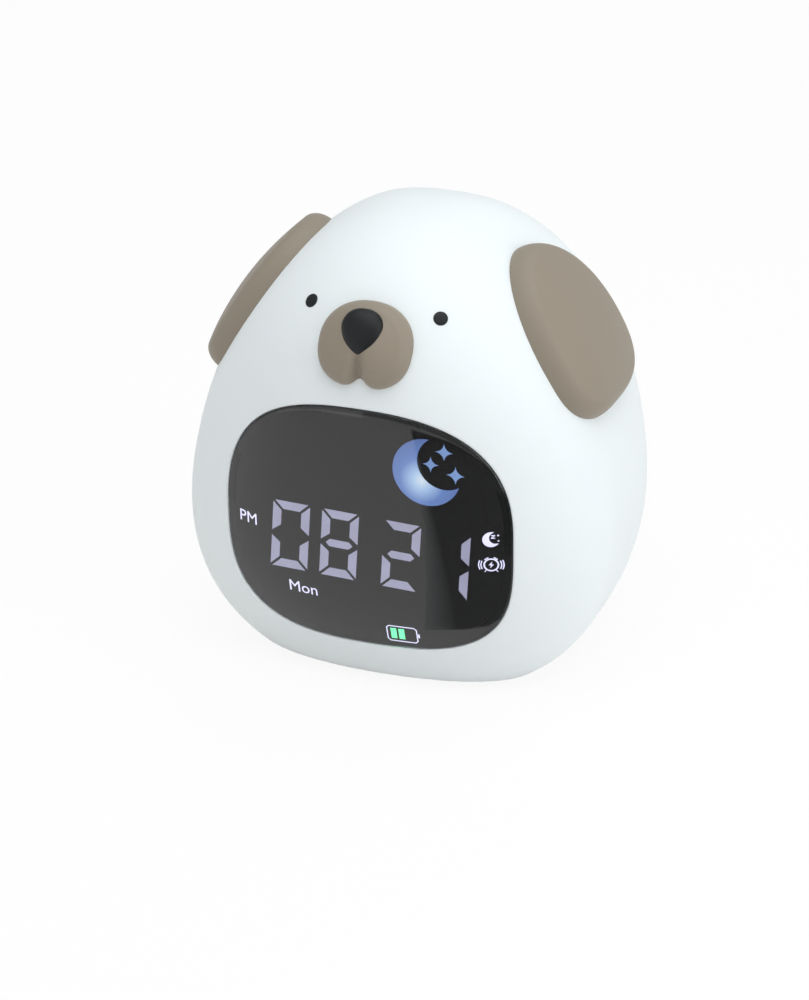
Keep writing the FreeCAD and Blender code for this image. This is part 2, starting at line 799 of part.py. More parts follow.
def moonForm(y, depth):
    def disc(x, z, radius):
        return Part.makeCylinder(radius, depth, Vector(x, y, z), Vector(0, 1, 0))
    turn = math.radians(size("moon_bite_angle"))
    bite_x = size("moon_x") + size("moon_bite_shift") * math.cos(turn)
    bite_z = size("moon_level") + size("moon_bite_shift") * math.sin(turn)
    whole = disc(size("moon_x"), size("moon_level"), size("moon_radius"))
    return whole.cut(disc(bite_x, bite_z, size("moon_bite_radius")))


STARS = [(4.7, 6.2, 1.0), (1.1, 2.4, 0.9), (7.7, 0.3, 1.05)]


def starForms(y, depth):
    return [
        facePrism(starOutline(size("moon_x") + x, size("moon_level") + z, size("star_radius") * scale), y, depth)
        for x, z, scale in STARS
    ]


def segmentForms(y, depth):
    forms = [facePrism(outline, y, depth) for place_x in DIGIT_PLACES for outline in digitBars(place_x)]
    for side in (-1, 1):
        centre_x, centre_z = slanted(0, size("digit_level") + side * size("colon_half_pitch"))
        forms.append(Part.makeCylinder(size("colon_radius"), depth, Vector(centre_x, y, centre_z), Vector(0, 1, 0)))
    return forms


segments = segmentForms(FACE_Y, FACE_WALL)
stars = starForms(FACE_Y, FACE_WALL)
moon = moonForm(FACE_Y, FACE_WALL)
digit_segments = shaped("digit_segments", Part.makeCompound(segments))
star_windows = shaped("star_windows", Part.makeCompound(stars))
moon_window = shaped("moon_window", moon)

face_slab = box("face_slab", "-60", "display_face_y", "0", "120", "display_face_wall", "120")
face_prism = shaped("face_prism", lensPrism(-size("window_ledge") - size("inner_fit"), FRONT_Y, -10))
face_room = shaped("face_room", bodyForm(LENS_BACK_INSET + size("inner_fit"), BASE_BOTTOM))
face_blank = common("face_blank", [face_slab, face_prism, face_room])
face_windows = shaped("face_windows", Part.makeCompound(segments + stars + [moon]))
display_face = cut("display_face", face_blank, face_windows)

box_slab = box("light_box_slab", "-60", "display_face_y + display_face_wall", "0", "120", "light_box_depth", "120")
box_blank = common("light_box_blank", [box_slab, face_prism, face_room])
CELL_WALL = 1.0
cells = []
for index, place_x in enumerate(DIGIT_PLACES):
    cells.append((place_x, size("digit_level"), size("digit_pitch") - CELL_WALL, size("digit_height") + 3))
cells.append((0, size("digit_level"), 2.5, size("digit_height")))
cells.append((size("moon_x"), size("moon_level"), 2 * size("moon_radius") + 1, 2 * size("moon_radius") + 1))
light_cells = shaped("light_cells", Part.makeCompound([
    Part.makeBox(wide, size("light_box_depth") + 2, tall,
                 Vector(x - wide / 2, FACE_Y + FACE_WALL - 1, z - tall / 2))
    for x, z, wide, tall in cells
]))
display_light_box = cut("display_light_box", box_blank, light_cells)

board_slab = box("board_slab", "-display_board_half_width", BOARD_FRONT, "display_board_low",
                 "2 * display_board_half_width", "board_wall", "display_board_height")
display_board = common("display_board", [board_slab, inner_room])
LED_SPOTS = [(place_x, size("digit_level") + rise) for place_x in DIGIT_PLACES for rise in (-6, 0, 6)]
LED_SPOTS += [(size("moon_x") + x, size("moon_level") + z) for x, z in ((-5, -3), (2, -6), (4, 4))]
display_leds = group("display_leds", [
    box(f"display_led_{index}", f"{x} - led_width / 2", f"{BOARD_FRONT} - led_height",
        f"{z} - led_width / 2", "led_width", "led_height", "led_width")
    for index, (x, z) in enumerate(LED_SPOTS)
])

# Controls at the back: an oval plate with five buttons, the charging port and a reset pinhole.

BUTTONS = ["button_mode", "button_minus", "button_light", "button_plus", "button_alarm"]
PANEL_Y = size("panel_face_y")
panel_cup = roundedBlock(size("panel_width"), size("panel_height"), PANEL_CORNER, SEAT_Y,
                         size("panel_depth"), size("panel_level"))
panel_rim = roundedBlock(
    size("panel_width") + 2 * size("panel_flange"), size("panel_height") + 2 * size("panel_flange"), PANEL_CORNER,
    SEAT_Y - size("panel_flange_wall"), size("panel_flange_wall"), size("panel_level"),
)
panel_room = roundedBlock(
    size("panel_width") - 2 * size("panel_wall"), size("panel_height") - 2 * size("panel_wall"),
    PANEL_CORNER - size("panel_wall"), SEAT_Y - size("panel_flange_wall") - 1,
    size("panel_depth") + size("panel_flange_wall") + 1 - size("panel_wall"), size("panel_level"),
)
panel_blank = shaped("panel_blank", panel_cup.fuse(panel_rim).cut(panel_room))
panel_tools = []
for index, name in enumerate(BUTTONS):
    panel_tools.append(
        cylinder(f"{name}_hole", f"button_pitch * {index - 2}", "panel_face_y - 10",
                 "panel_level + button_row_rise", "button_radius + button_fit", "20", "Y")
    )
panel_tools.append(cylinder("pinhole", "pinhole_x", "panel_face_y - 10", "panel_level - port_drop",
                            "pinhole_radius", "20", "Y"))
port_opening = roundedBlock(size("port_width") + 2 * size("slip_fit"), size("port_height") + 2 * size("slip_fit"),
                            size("port_height") / 2, PANEL_Y - 10, 20, size("panel_level") - size("port_drop"))
panel_tools.append(shaped("port_opening", port_opening))
control_panel = cut("control_panel", panel_blank, fused("panel_tools", panel_tools))

CONTROL_BOARD_Y = "panel_face_y - panel_depth - panel_flange_wall - board_wall"
control_board = box("control_board", "-panel_width / 2", CONTROL_BOARD_Y, "panel_level - panel_height / 2",
                    "panel_width", "board_wall", "panel_height")
SWITCH_Y = "panel_face_y - panel_depth - panel_flange_wall"
switches = []
for index, name in enumerate(BUTTONS):
    x = f"button_pitch * {index - 2}"
    switch_case = box(f"{name}_switch", f"{x} - switch_width / 2", SWITCH_Y,
                      "panel_level + button_row_rise - switch_width / 2",
                      "switch_width", "switch_height", "switch_width")
    plunger = cylinder(f"{name}_plunger", x, f"{SWITCH_Y} + switch_height", "panel_level + button_row_rise",
                       "plunger_radius", "plunger_height", "Y")
    switches.append(fused(f"{name}_switch_unit", [switch_case, plunger]))
tactile_switches = group("tactile_switches", switches)

buttons = []
for index, name in enumerate(BUTTONS):
    x = f"button_pitch * {index - 2}"
    wall_back = "panel_face_y - panel_wall - 0.1"
    flange = cylinder(f"{name}_flange", x, f"{wall_back} - button_flange_wall", "panel_level + button_row_rise",
                      "button_radius + button_flange", "button_flange_wall", "Y")
    cap = cylinder(f"{name}_cap", x, f"{wall_back} - button_flange_wall", "panel_level + button_row_rise",
                   "button_radius", "button_flange_wall + 0.1 + panel_wall + button_proud", "Y")
    buttons.append(fused(name, [flange, cap]))

port_shell = roundedBlock(size("port_width"), size("port_height"), size("port_height") * 0.48,
                          SEAT_Y - size("panel_flange_wall"), size("port_length"),
                          size("panel_level") - size("port_drop"))
port_bore = roundedBlock(size("port_width") - 2 * size("port_wall"), size("port_height") - 2 * size("port_wall"),
                         size("port_height") * 0.48 - size("port_wall"),
                         SEAT_Y - size("panel_flange_wall") + 1, size("port_length"),
                         size("panel_level") - size("port_drop"))
port_tongue = Part.makeBox(size("port_width") - 2.4, size("port_length") - 0.8, size("port_tongue_wall"),
                           Vector(1.2 - size("port_width") / 2, SEAT_Y - size("panel_flange_wall"),
                                  size("panel_level") - size("port_drop") - size("port_tongue_wall") / 2))
usb_c_socket = shaped("usb_c_socket", port_shell.cut(port_bore).fuse(port_tongue))

NODES = [
    silicone_cover, ear_left, ear_right, muzzle_node, nose, eye_left, eye_right, display_lens, lens_gasket,
    front_shell, rear_shell, base_plate, foot_pads, base_screws, speaker_basket, speaker_cone, speaker_magnet,
    inner_frame, night_light_board, night_light_leds, main_board, board_chips, battery_pad, battery_cell,
    digit_segments, star_windows, moon_window, display_face, display_light_box, display_board, display_leds,
    control_panel, control_board, tactile_switches, usb_c_socket,
] + buttons

doc.recompute()
battery_cell.Edges = [(index + 1, 2.0, 2.0) for index, edge in enumerate(battery_box.Shape.Edges)
                      if abs(edge.tangentAt(0).z) > 0.9]
doc.recompute()

for item in doc.Objects:
    if "Invalid" in item.State or "Error" in item.State:
        raise RuntimeError(f"{item.Name} failed: {item.State}")
for node in NODES:
    node.Label = node.Name
    if node.Shape.isNull() or not node.Shape.isValid():
        raise RuntimeError(f"{node.Label} has no valid shape")

os.makedirs("parts", exist_ok=True)
for node in NODES:
    node.Shape.exportStep(os.path.join("parts", node.Label + ".step"))
    print(node.Label, len(node.Shape.Solids), round(node.Shape.Volume, 1))
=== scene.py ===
import math
import bmesh
import bpy
import numpy as np
from mathutils import Matrix, Vector


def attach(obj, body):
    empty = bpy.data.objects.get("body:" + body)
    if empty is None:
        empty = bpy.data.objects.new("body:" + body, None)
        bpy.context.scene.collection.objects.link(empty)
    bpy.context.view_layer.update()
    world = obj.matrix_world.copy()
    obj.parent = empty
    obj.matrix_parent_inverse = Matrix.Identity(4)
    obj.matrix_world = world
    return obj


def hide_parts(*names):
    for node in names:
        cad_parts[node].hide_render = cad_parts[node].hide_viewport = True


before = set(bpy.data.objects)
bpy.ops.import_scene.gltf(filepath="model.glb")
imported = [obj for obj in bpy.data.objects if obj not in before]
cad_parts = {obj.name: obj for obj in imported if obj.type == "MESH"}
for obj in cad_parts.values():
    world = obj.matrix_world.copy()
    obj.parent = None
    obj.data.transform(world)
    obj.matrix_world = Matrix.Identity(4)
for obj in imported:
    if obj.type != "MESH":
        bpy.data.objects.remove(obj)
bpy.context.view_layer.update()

mm = 0.001

# The clock's egg-shaped body, in millimetres, the same curves as the CAD model.
body = {
    "height": 119.0, "upperHeight": 62.9, "halfWidth": 56.2, "frontDepth": 36.5, "backDepth": 64.6,
    "setBack": -3.0, "lean": 0.164, "profilePower": 2.215, "frontPower": 2.18, "backPower": 2.8,
    "widthTaper": 0.218, "frontSwell": 0.3, "backTaper": 0.155, "baseLevel": 0.8, "baseSoftness": 2.0,
}
middleLevel = body["height"] - body["upperHeight"]


# Half width, front depth, back depth and middle line of the oval at each height.
def levelOval(z, inset):
    reach = body["upperHeight"] - inset
    s = np.clip((z - middleLevel) / reach, -0.99999, 0.99999)
    swell = (1 - np.abs(s) ** body["profilePower"]) ** (1 / body["profilePower"])
    width = (body["halfWidth"] - inset) * swell * (1 - body["widthTaper"] * s)
    front = (body["frontDepth"] - inset) * swell * (1 + body["frontSwell"] * s)
    back = (body["backDepth"] - inset) * swell * (1 - body["backTaper"] * s)
    return width, front, back, body["lean"] * (z - middleLevel) + body["setBack"]


# Below 1 inside the body and above 1 outside it.
def bodyField(p, inset):
    width, front, back, middle = levelOval(p[..., 2], inset)
    along = p[..., 1] - middle
    depth = np.where(along > 0, back, front)
    power = np.where(along > 0, body["backPower"], body["frontPower"])
    value = (np.abs(p[..., 0]) / width) ** power + (np.abs(along) / depth) ** power
    above = np.abs(p[..., 2] - middleLevel) / (body["upperHeight"] - inset)
    return np.where(above < 0.99999, value, 1 + above)


# Depth of the front surface at a place in front view.
def frontY(x, z, inset):
    width, front, back, middle = levelOval(z, inset)
    share = np.clip(np.abs(x) / width, 0, 0.9999)
    return middle - front * (1 - share ** body["frontPower"]) ** (1 / body["frontPower"])


# Depth of the back surface at a place in back view.
def backY(x, z, inset):
    width, front, back, middle = levelOval(z, inset)
    share = np.clip(np.abs(x) / width, 0, 0.9999)
    return middle + back * (1 - share ** body["backPower"]) ** (1 / body["backPower"])


# Outward normals of the body's surface, from the field's slopes.
def bodyNormal(p):
    step = 0.05
    slopes = []
    for axis in range(3):
        shift = np.zeros(3)
        shift[axis] = step
        slopes.append(bodyField(p + shift, 0) - bodyField(p - shift, 0))
    slope = np.stack(slopes, axis=-1)
    return slope / np.linalg.norm(slope, axis=-1, keepdims=True)


# How finely and how far along a line the surfaces are looked for, in millimetres.
search = {"halvings": 34, "cornerHalvings": 40, "reach": 160, "floorReach": 400, "leastFall": 1e-4}


# Halves the stretch between a point inside and a point outside until it meets the surface.
def meetSurface(inside, outside, inset=0.0):
    near, far = inside.copy(), outside.copy()
    for _ in range(search["halvings"]):
        half = (near + far) / 2
        isIn = (bodyField(half, inset) < 1)[..., None]
        near = np.where(isIn, half, near)
        far = np.where(isIn, far, half)
    return near


# Distance from a point inside, along each direction, to the egg or its flat base, blended softly.
def castFromInside(start, direction, inset, floorLevel):
    hit = meetSurface(np.broadcast_to(start, direction.shape), start + direction * search["reach"], inset)
    toEgg = np.linalg.norm(hit - start, axis=-1)
    down = np.minimum(direction[..., 2], -search["leastFall"])
    toFloor = np.minimum((floorLevel - start[2]) / down, search["floorReach"])
    softness = body["baseSoftness"]
    blend = np.maximum(softness - np.abs(toEgg - toFloor), 0) / softness
    reach = np.minimum(toEgg, toFloor) - blend ** 2 * softness / 4
    return start + direction * reach[..., None]


# Angles evenly round a full turn, the first one not repeated.
def fullTurn(count):
    return np.linspace(0, 2 * math.pi, count, endpoint=False)


def addObject(name, data):
    made = bpy.data.objects.new(name, data)
    bpy.context.scene.collection.objects.link(made)
    return made


# Puts points in millimetres into a mesh object in metres.
def meshFrom(name, points, faces, sharpAngle=40):
    mesh = bpy.data.meshes.new(name)
    mesh.from_pydata((points.reshape(-1, 3) * mm).tolist(), [], faces)
    tidy = bmesh.new()
    tidy.from_mesh(mesh)
    bmesh.ops.remove_doubles(tidy, verts=tidy.verts, dist=2e-6)
    bmesh.ops.recalc_face_normals(tidy, faces=tidy.faces)
    tidy.to_mesh(mesh)
    tidy.free()
    mesh.polygons.foreach_set("use_smooth", [True] * len(mesh.polygons))
    mesh.set_sharp_from_angle(angle=math.radians(sharpAngle))
    return addObject(name, mesh)


# Quads between neighbouring rings, each ring closed; the rings may close on themselves too.
def ringFaces(rows, columns, closeRows):
    index = np.arange(rows * columns).reshape(rows, columns)
    if closeRows:
        index = np.vstack([index, index[:1]])
    a, b = index[:-1], index[1:]
    quads = np.stack([a, b, np.roll(b, -1, axis=1), np.roll(a, -1, axis=1)], axis=-1)
    return quads.reshape(-1, 4).tolist()


# A closed surface through rings of points, each ring with the same number of them.
def ringMesh(name, rings, closeRows=False, sharpAngle=40):
    rings = np.asarray(rings)
    return meshFrom(name, rings, ringFaces(rings.shape[0], rings.shape[1], closeRows), sharpAngle)


# A closed plate: each outline is filled in front and behind and walled round its edge.
def plateMesh(name, outlines, placeFront, placeBack, sharpAngle=30):
    points, faces = [], []
    for outline in outlines:
        start = len(points)
        count = len(outline)
        points += list(placeFront(outline)) + list(placeBack(outline))
        faces.append(list(range(start, start + count)))
        faces.append(list(range(start + 2 * count - 1, start + count - 1, -1)))
        for k in range(count):
            following = (k + 1) % count
            faces.append([start + k, start + count + k, start + count + following, start + following])
    return meshFrom(name, np.array(points), faces, sharpAngle)


# One socket of a shader tree, with the operators that the materials use.
class Signal:
    def __init__(self, finish, socket):
        self.finish = finish
        self.socket = socket

    def combine(self, operation, first, second):
        return self.finish.node("ShaderNodeMath", {"operation": operation}, {0: first, 1: second})

    def __add__(self, other):
        return self.combine("ADD", self, other)

    def __radd__(self, other):
        return self.combine("ADD", other, self)

    def __sub__(self, other):
        return self.combine("SUBTRACT", self, other)

    def __rsub__(self, other):
        return self.combine("SUBTRACT", other, self)

    def __mul__(self, other):
        return self.combine("MULTIPLY", self, other)

    def __rmul__(self, other):
        return self.combine("MULTIPLY", other, self)


# A material built by short calls: one method adds any node, one sets the shader's sockets.
class Finish:
    def __init__(self, name):
        self.material = bpy.data.materials.new(name)
        self.material.use_nodes = True
        self.tree = self.material.node_tree
        self.shader = self.tree.nodes["Principled BSDF"]
        self.place = self.node("ShaderNodeTexCoord", output="Object")

    def node(self, kind, settings=None, inputs=None, output=0):
        made = self.tree.nodes.new(kind)
        for key, value in (settings or {}).items():
            if key == "stops":
                self.setStops(made, value)
            else:
                setattr(made, key, value)
        for key, value in (inputs or {}).items():
            self.feed(made.inputs[key], value)
        return Signal(self, made.outputs[output])

    def setStops(self, ramp, stops):
        while len(ramp.color_ramp.elements) < len(stops):
            ramp.color_ramp.elements.new(0.5)
        for element, (position, colour) in zip(ramp.color_ramp.elements, stops):
            element.position = position
            element.color = colour

    def feed(self, socket, value):
        if isinstance(value, Signal):
            self.tree.links.new(value.socket, socket)
        else:
            socket.default_value = value

    def noise(self, scale, detail=3.0, roughness=0.55):
        return self.node("ShaderNodeTexNoise", None, {
            "Vector": self.place, "Scale": scale, "Detail": detail, "Roughness": roughness})

    def mixColour(self, factor, first, second):
        return self.node("ShaderNodeMix", {"data_type": "RGBA"}, {0: factor, 6: first, 7: second}, output=2)

    def bump(self, height, strength, distance):
        return self.node("ShaderNodeBump", None, {
            "Height": height, "Strength": strength, "Distance": distance})

    def set(self, sockets):
        for key, value in sockets.items():
            self.feed(self.shader.inputs[key], value)
        return self.material


# A colour made lighter or darker, with full cover.
def shade(colour, factor):
    return (colour[0] * factor, colour[1] * factor, colour[2] * factor, 1)


# Moulded silicone: a fine powdery skin with faint handling marks and light under the surface.
def siliconeFinish(name, colour, glow, glowReach):
    finish = Finish(name)
    cloudy = finish.noise(38, 2)
    grain = finish.noise(2600, 2, 0.7)
    tint = finish.mixColour(cloudy * 0.5 + grain * 0.15, shade(colour, 0.975), shade(colour, 1.02))
    rough = 0.5 + cloudy * 0.1 + grain * 0.06
    return finish.set({
        "Base Color": tint, "Roughness": rough, "Normal": finish.bump(grain, 0.25, 0.00006),
        "Subsurface Weight": glow, "Subsurface Scale": glowReach, "Subsurface Radius": (1.0, 0.85, 0.75),
        "Sheen Weight": 0.12, "Sheen Roughness": 0.4, "Specular IOR Level": 0.35})


# Moulded plastic: spark-eroded grain, slight unevenness of gloss.
def plasticFinish(name, colour, roughness, grainDepth=0.00003, gloss=0.5):
    finish = Finish(name)
    cloudy = finish.noise(60, 2)
    grain = finish.noise(3400, 2, 0.6)
    tint = finish.mixColour(cloudy, shade(colour, 0.94), shade(colour, 1.04))
    return finish.set({
        "Base Color": tint, "Roughness": roughness - 0.04 + cloudy * 0.08,
        "Normal": finish.bump(grain, 0.3, grainDepth), "Specular IOR Level": gloss})


# Rolled or plated metal with fine brushing along X.
def metalFinish(name, colour, roughness):
    finish = Finish(name)
    stretched = finish.node("ShaderNodeMapping", None, {"Vector": finish.place, "Scale": (0.06, 1, 1)})
    brushing = finish.node("ShaderNodeTexNoise", None, {"Vector": stretched, "Scale": 5200, "Detail": 2})
    tint = finish.mixColour(brushing, shade(colour, 0.85), shade(colour, 1.05))
    return finish.set({
        "Base Color": tint, "Metallic": 1.0, "Roughness": roughness - 0.06 + brushing * 0.12,
        "Normal": finish.bump(brushing, 0.15, 0.00002)})


# Circuit board: green mask over fine copper runs.
def boardFinish(name, colour):
    finish = Finish(name)
    runs = finish.node("ShaderNodeTexBrick", {"offset": 0.35}, {
        "Vector": finish.place, "Scale": 420, "Mortar Size": 0.05,
        "Color1": (0, 0, 0, 1), "Color2": (0.25, 0.25, 0.25, 1), "Mortar": (1, 1, 1, 1)})
    cloudy = finish.noise(140, 2)
    tint = finish.mixColour(runs * 0.55, shade(colour, 0.9), shade(colour, 1.9))
    return finish.set({
        "Base Color": tint, "Roughness": 0.32 + cloudy * 0.1,
        "Normal": finish.bump(runs, 0.2, 0.00003), "Coat Weight": 0.2, "Coat Roughness": 0.2})


# Black high-gloss plastic with a faint ripple from the mould.
def glossBlackFinish(name, colour, roughness):
    finish = Finish(name)
    ripple = finish.noise(90, 2)
    tint = finish.mixColour(ripple, shade(colour, 0.8), shade(colour, 1.2))
    return finish.set({
        "Base Color": tint, "Roughness": roughness + ripple * 0.05,
        "Normal": finish.bump(ripple, 0.03, 0.0002), "Specular IOR Level": 0.3})


# Smoked acrylic: clear through, with faint haze and specks of dust in the gloss.
def lensFinish(name, tint):
    finish = Finish(name)
    haze = finish.noise(45, 2)
    ripple = finish.noise(14, 1)
    return finish.set({
        "Base Color": finish.mixColour(haze, shade(tint, 0.96), shade(tint, 1.04)),
        "Roughness": 0.03 + haze * 0.03, "Normal": finish.bump(ripple, 0.02, 0.0004),
        "Transmission Weight": 1.0, "IOR": 1.6})


# A lit plastic window: brighter where the light behind it stands.
def glowFinish(name, colour, strength):
    finish = Finish(name)
    uneven = finish.noise(260, 1)
    tint = finish.mixColour(uneven, shade(colour, 0.88), shade(colour, 1.1))
    return finish.set({
        "Base Color": (0.02, 0.02, 0.02, 1), "Roughness": 0.6 + uneven * 0.1,
        "Emission Color": tint, "Emission Strength": strength})


# Radius of an oval in each direction: its shares of the half axes, raised to the power, add up to 1.
def ovalRadius(across, rise, halfWidth, halfHeight, power):
    shares = (np.abs(across) / halfWidth) ** power + (np.abs(rise) / halfHeight) ** power
    return shares ** (-1 / power)


# The smoked lens, the back panel's opening and the skin, in millimetres.
lens = {
    "halfWidth": 38.8, "halfHeight": 33.9, "level": 46.7, "topPower": 2.42, "bottomPower": 3.16,
    "recess": 0.4, "wall": 1.8, "edge": 0.35, "columns": 200, "tint": (0.16, 0.16, 0.165),
}
controls = {"level": 47.0, "width": 44.0, "height": 22.0, "corner": 0.42}
cover = {
    "wall": 3.0, "lip": 0.8, "lensGap": 0.15, "panelGap": 0.3, "innerFloor": 1.6, "start": (0.0, 8.0, 48.0),
    "columns": 220, "rows": 96, "innerStep": 3, "lipRings": 7, "sharpAngle": 50,
    "cutLow": -4.0, "cutHigh": 5.0, "cutColumns": 120,
}


# Radius of the display's outline at each angle seen from the front: an oval that is squarer below.
def lensRadius(angle, margin):
    across, rise = np.cos(angle), np.sin(angle)
    power = np.where(rise > 0, lens["topPower"], lens["bottomPower"])
    return ovalRadius(across, rise, lens["halfWidth"] + margin, lens["halfHeight"] + margin, power)


# Radius of a rectangle with round corners at each angle, by halving towards its edge.
def roundedRadius(angle, halfWidth, halfHeight, corner):
    near, far = np.zeros_like(angle), np.full_like(angle, halfWidth + halfHeight)
    for _ in range(search["cornerHalvings"]):
        half = (near + far) / 2
        offX = np.abs(half * np.cos(angle)) - (halfWidth - corner)
        offZ = np.abs(half * np.sin(angle)) - (halfHeight - corner)
        outside = np.hypot(np.maximum(offX, 0), np.maximum(offZ, 0)) - corner
        outside = outside + np.minimum(np.maximum(offX, offZ), 0)
        near = np.where(outside < 0, half, near)
        far = np.where(outside < 0, far, half)
    return near


# The silicone skin is one closed surface: out of the display opening, over the body to the
# opening at the back, in through it and back along the inside.
def makeCover():
    angle = fullTurn(cover["columns"])
    start = np.array(cover["start"])
    lip, wall = cover["lip"], cover["wall"]
    corner = controls["height"] * controls["corner"]

    def windowRim(margin, depth):
        radius = lensRadius(angle, cover["lensGap"] + margin)
        x, z = radius * np.cos(angle), lens["level"] + radius * np.sin(angle)
        return np.stack([x, frontY(x, z, 0) + depth, z], axis=-1)

    def backRim(margin, depth):
        radius = roundedRadius(angle, controls["width"] / 2 + cover["panelGap"] + margin,
                               controls["height"] / 2 + cover["panelGap"] + margin, corner + margin)
        x, z = radius * np.cos(angle), controls["level"] + radius * np.sin(angle)
        return np.stack([x, backY(x, z, 0) - depth, z], axis=-1)

    # A quarter round from the opening's wall to the body.
    def lipRings(rim, turns):
        return [rim(lip * (1 - math.sin(t)), lip * (1 - math.cos(t))) for t in turns]

    # Directions turn evenly from the first rim to the last, and each meets the body.
    def sweep(first, last, shares, inset, floorLevel):
        a, b = [(p - start) / np.linalg.norm(p - start, axis=-1, keepdims=True) for p in (first, last)]
        between = np.arccos(np.clip((a * b).sum(-1), -1, 1))[..., None]
        rows = []
        for share in shares:
            turned = np.sin((1 - share) * between) * a + np.sin(share * between) * b
            rows.append(castFromInside(start, turned / np.sin(between), inset, floorLevel))
        return rows

    turns = np.linspace(0, math.pi / 2, cover["lipRings"])
    shares = np.linspace(0, 1, cover["rows"])
    innerShares = shares[::-1][1:-1:cover["innerStep"]]
    innerFloor = body["baseLevel"] + cover["innerFloor"]
    rings = lipRings(windowRim, turns[::-1])
    rings += sweep(windowRim(lip, 0), backRim(lip, 0), shares[1:-1], 0, body["baseLevel"])
    rings += lipRings(backRim, turns)
    rings += [backRim(0, wall)]
    rings += sweep(windowRim(0, wall), backRim(0, wall), innerShares, wall, innerFloor)
    rings += [windowRim(0, wall)]
    skin = ringMesh("siliconeSkin", rings, closeRows=True, sharpAngle=cover["sharpAngle"])
    openBase(skin)
    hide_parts("silicone_cover")
    return skin


# Cuts the base's opening: the body's oval at the base, drawn in by the skin's wall.
def openBase(skin):
    turn = fullTurn(cover["cutColumns"])
    width, front, back, middle = levelOval(np.full_like(turn, body["baseLevel"]), cover["wall"])
    along = np.sin(turn)
    depth = np.where(along > 0, back, front)
    power = np.where(along > 0, body["backPower"], body["frontPower"])
    radius = ovalRadius(np.cos(turn), along, width, depth, power)
    oval = np.stack([radius * np.cos(turn), middle + radius * along], axis=-1)

    def atLevel(level):
        return lambda outline: np.column_stack([outline, np.full(len(outline), level)])

    cutter = plateMesh("baseCutter", [oval], atLevel(cover["cutLow"]), atLevel(cover["cutHigh"]))
    trim = skin.modifiers.new("baseOpening", "BOOLEAN")
    trim.object, trim.operation, trim.solver = cutter, "DIFFERENCE", "EXACT"
    bpy.context.view_layer.update()
    opened = bpy.data.meshes.new_from_object(skin.evaluated_get(bpy.context.evaluated_depsgraph_get()))
    skin.modifiers.clear()
    skin.data = opened
    bpy.data.objects.remove(cutter)
    opened.polygons.foreach_set("use_smooth", [True] * len(opened.polygons))
    opened.set_sharp_from_angle(angle=math.radians(cover["sharpAngle"]))


# How a soft pad is laid on the body: its root's depth, the reach of its search and its rings.
pad = {"root": 0.5, "probe": 26, "columns": 96, "rootRings": 6, "rimRings": 12, "topRings": 26}


# A soft pad on the body: a round rim that rises off the surface, then a gently domed top.
# The outline is a radius for each angle in the pad's own plane, and each ring meets the
# body's form swollen by the pad's thickness there.
def padRings(centre, across, up, outward, radiusAt, size, liftEdit=None, columns=pad["columns"]):
    angle = fullTurn(columns)
    reach = radiusAt(angle)
    rim, puff, dome = size["rim"], size["puff"], size["dome"]

    def ring(radius, lift):
        flat = centre + np.outer(radius * np.cos(angle), across) + np.outer(radius * np.sin(angle), up)
        rise = np.broadcast_to(liftEdit(flat, lift) if liftEdit else lift, angle.shape)
        return meetSurface(flat - outward * pad["probe"], flat + outward * pad["probe"], -rise)

    rings = [ring(reach * share, -pad["root"]) for share in np.linspace(0, 1, pad["rootRings"])]
    for turn in np.linspace(0, math.pi / 2, pad["rimRings"]):
        rings.append(ring(reach - rim * (1 - math.cos(turn)), puff * math.sin(turn)))
    for share in np.linspace(1, 0, pad["topRings"])[1:]:
        rings.append(ring((reach - rim) * share, puff + dome * (1 - share ** 2)))
    return rings


ear = {
    "length": 46.7, "halfWidth": 21.4, "widest": 0.62, "crownPower": 2.0, "cheekPower": 3.0,
    "topX": 29.7, "topZ": 112.6, "middleY": 7.0, "hangAngle": 33.4, "puff": 4.8, "dome": 0.7, "rim": 3.6,
}


# An oval that is round towards the crown and squarer towards the cheek.
def makeEar(name, node, side):
    hang = math.radians(ear["hangAngle"])
    down = np.array([side * math.sin(hang), 0, -math.cos(hang)])
    outward = np.array([side * math.cos(hang), 0, math.sin(hang)])
    top = np.array([side * ear["topX"], ear["middleY"], ear["topZ"]])
    centre = top + down * (ear["widest"] * ear["length"])

    def radiusAt(angle):
        across, along = np.cos(angle), np.sin(angle)
        power = np.where(along > 0, ear["cheekPower"], ear["crownPower"])
        length = ear["length"] * np.where(along > 0, 1 - ear["widest"], ear["widest"])
        return ovalRadius(across, along, ear["halfWidth"], length, power)

    piece = ringMesh(name, padRings(centre, np.array([0, 1.0, 0]), down, outward, radiusAt, ear))
    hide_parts(node)
    return piece


muzzle = {
    "level": 96.2, "halfWidth": 12.5, "rise": 11.4, "drop": 11.0, "risePower": 2.15, "dropPower": 2.5,
    "notch": 2.6, "notchWidth": 2.6, "rim": 3.4, "puff": 3.6, "dome": 1.3, "columns": 144,
    "creaseDepth": 1.5, "creaseWidth": 1.5, "creaseTop": 1.0, "creaseGrowth": 8.0, "creaseFloor": 0.2,
}


# The muzzle's plane lies on the body's slope under the nose.
def muzzlePlane():
    spot = np.array([0.0, float(frontY(0.0, muzzle["level"], 0)), muzzle["level"]])
    outward = bodyNormal(spot)
    up = np.cross(outward, np.array([1.0, 0, 0]))
    up = up if up[2] > 0 else -up
    return spot, outward, up


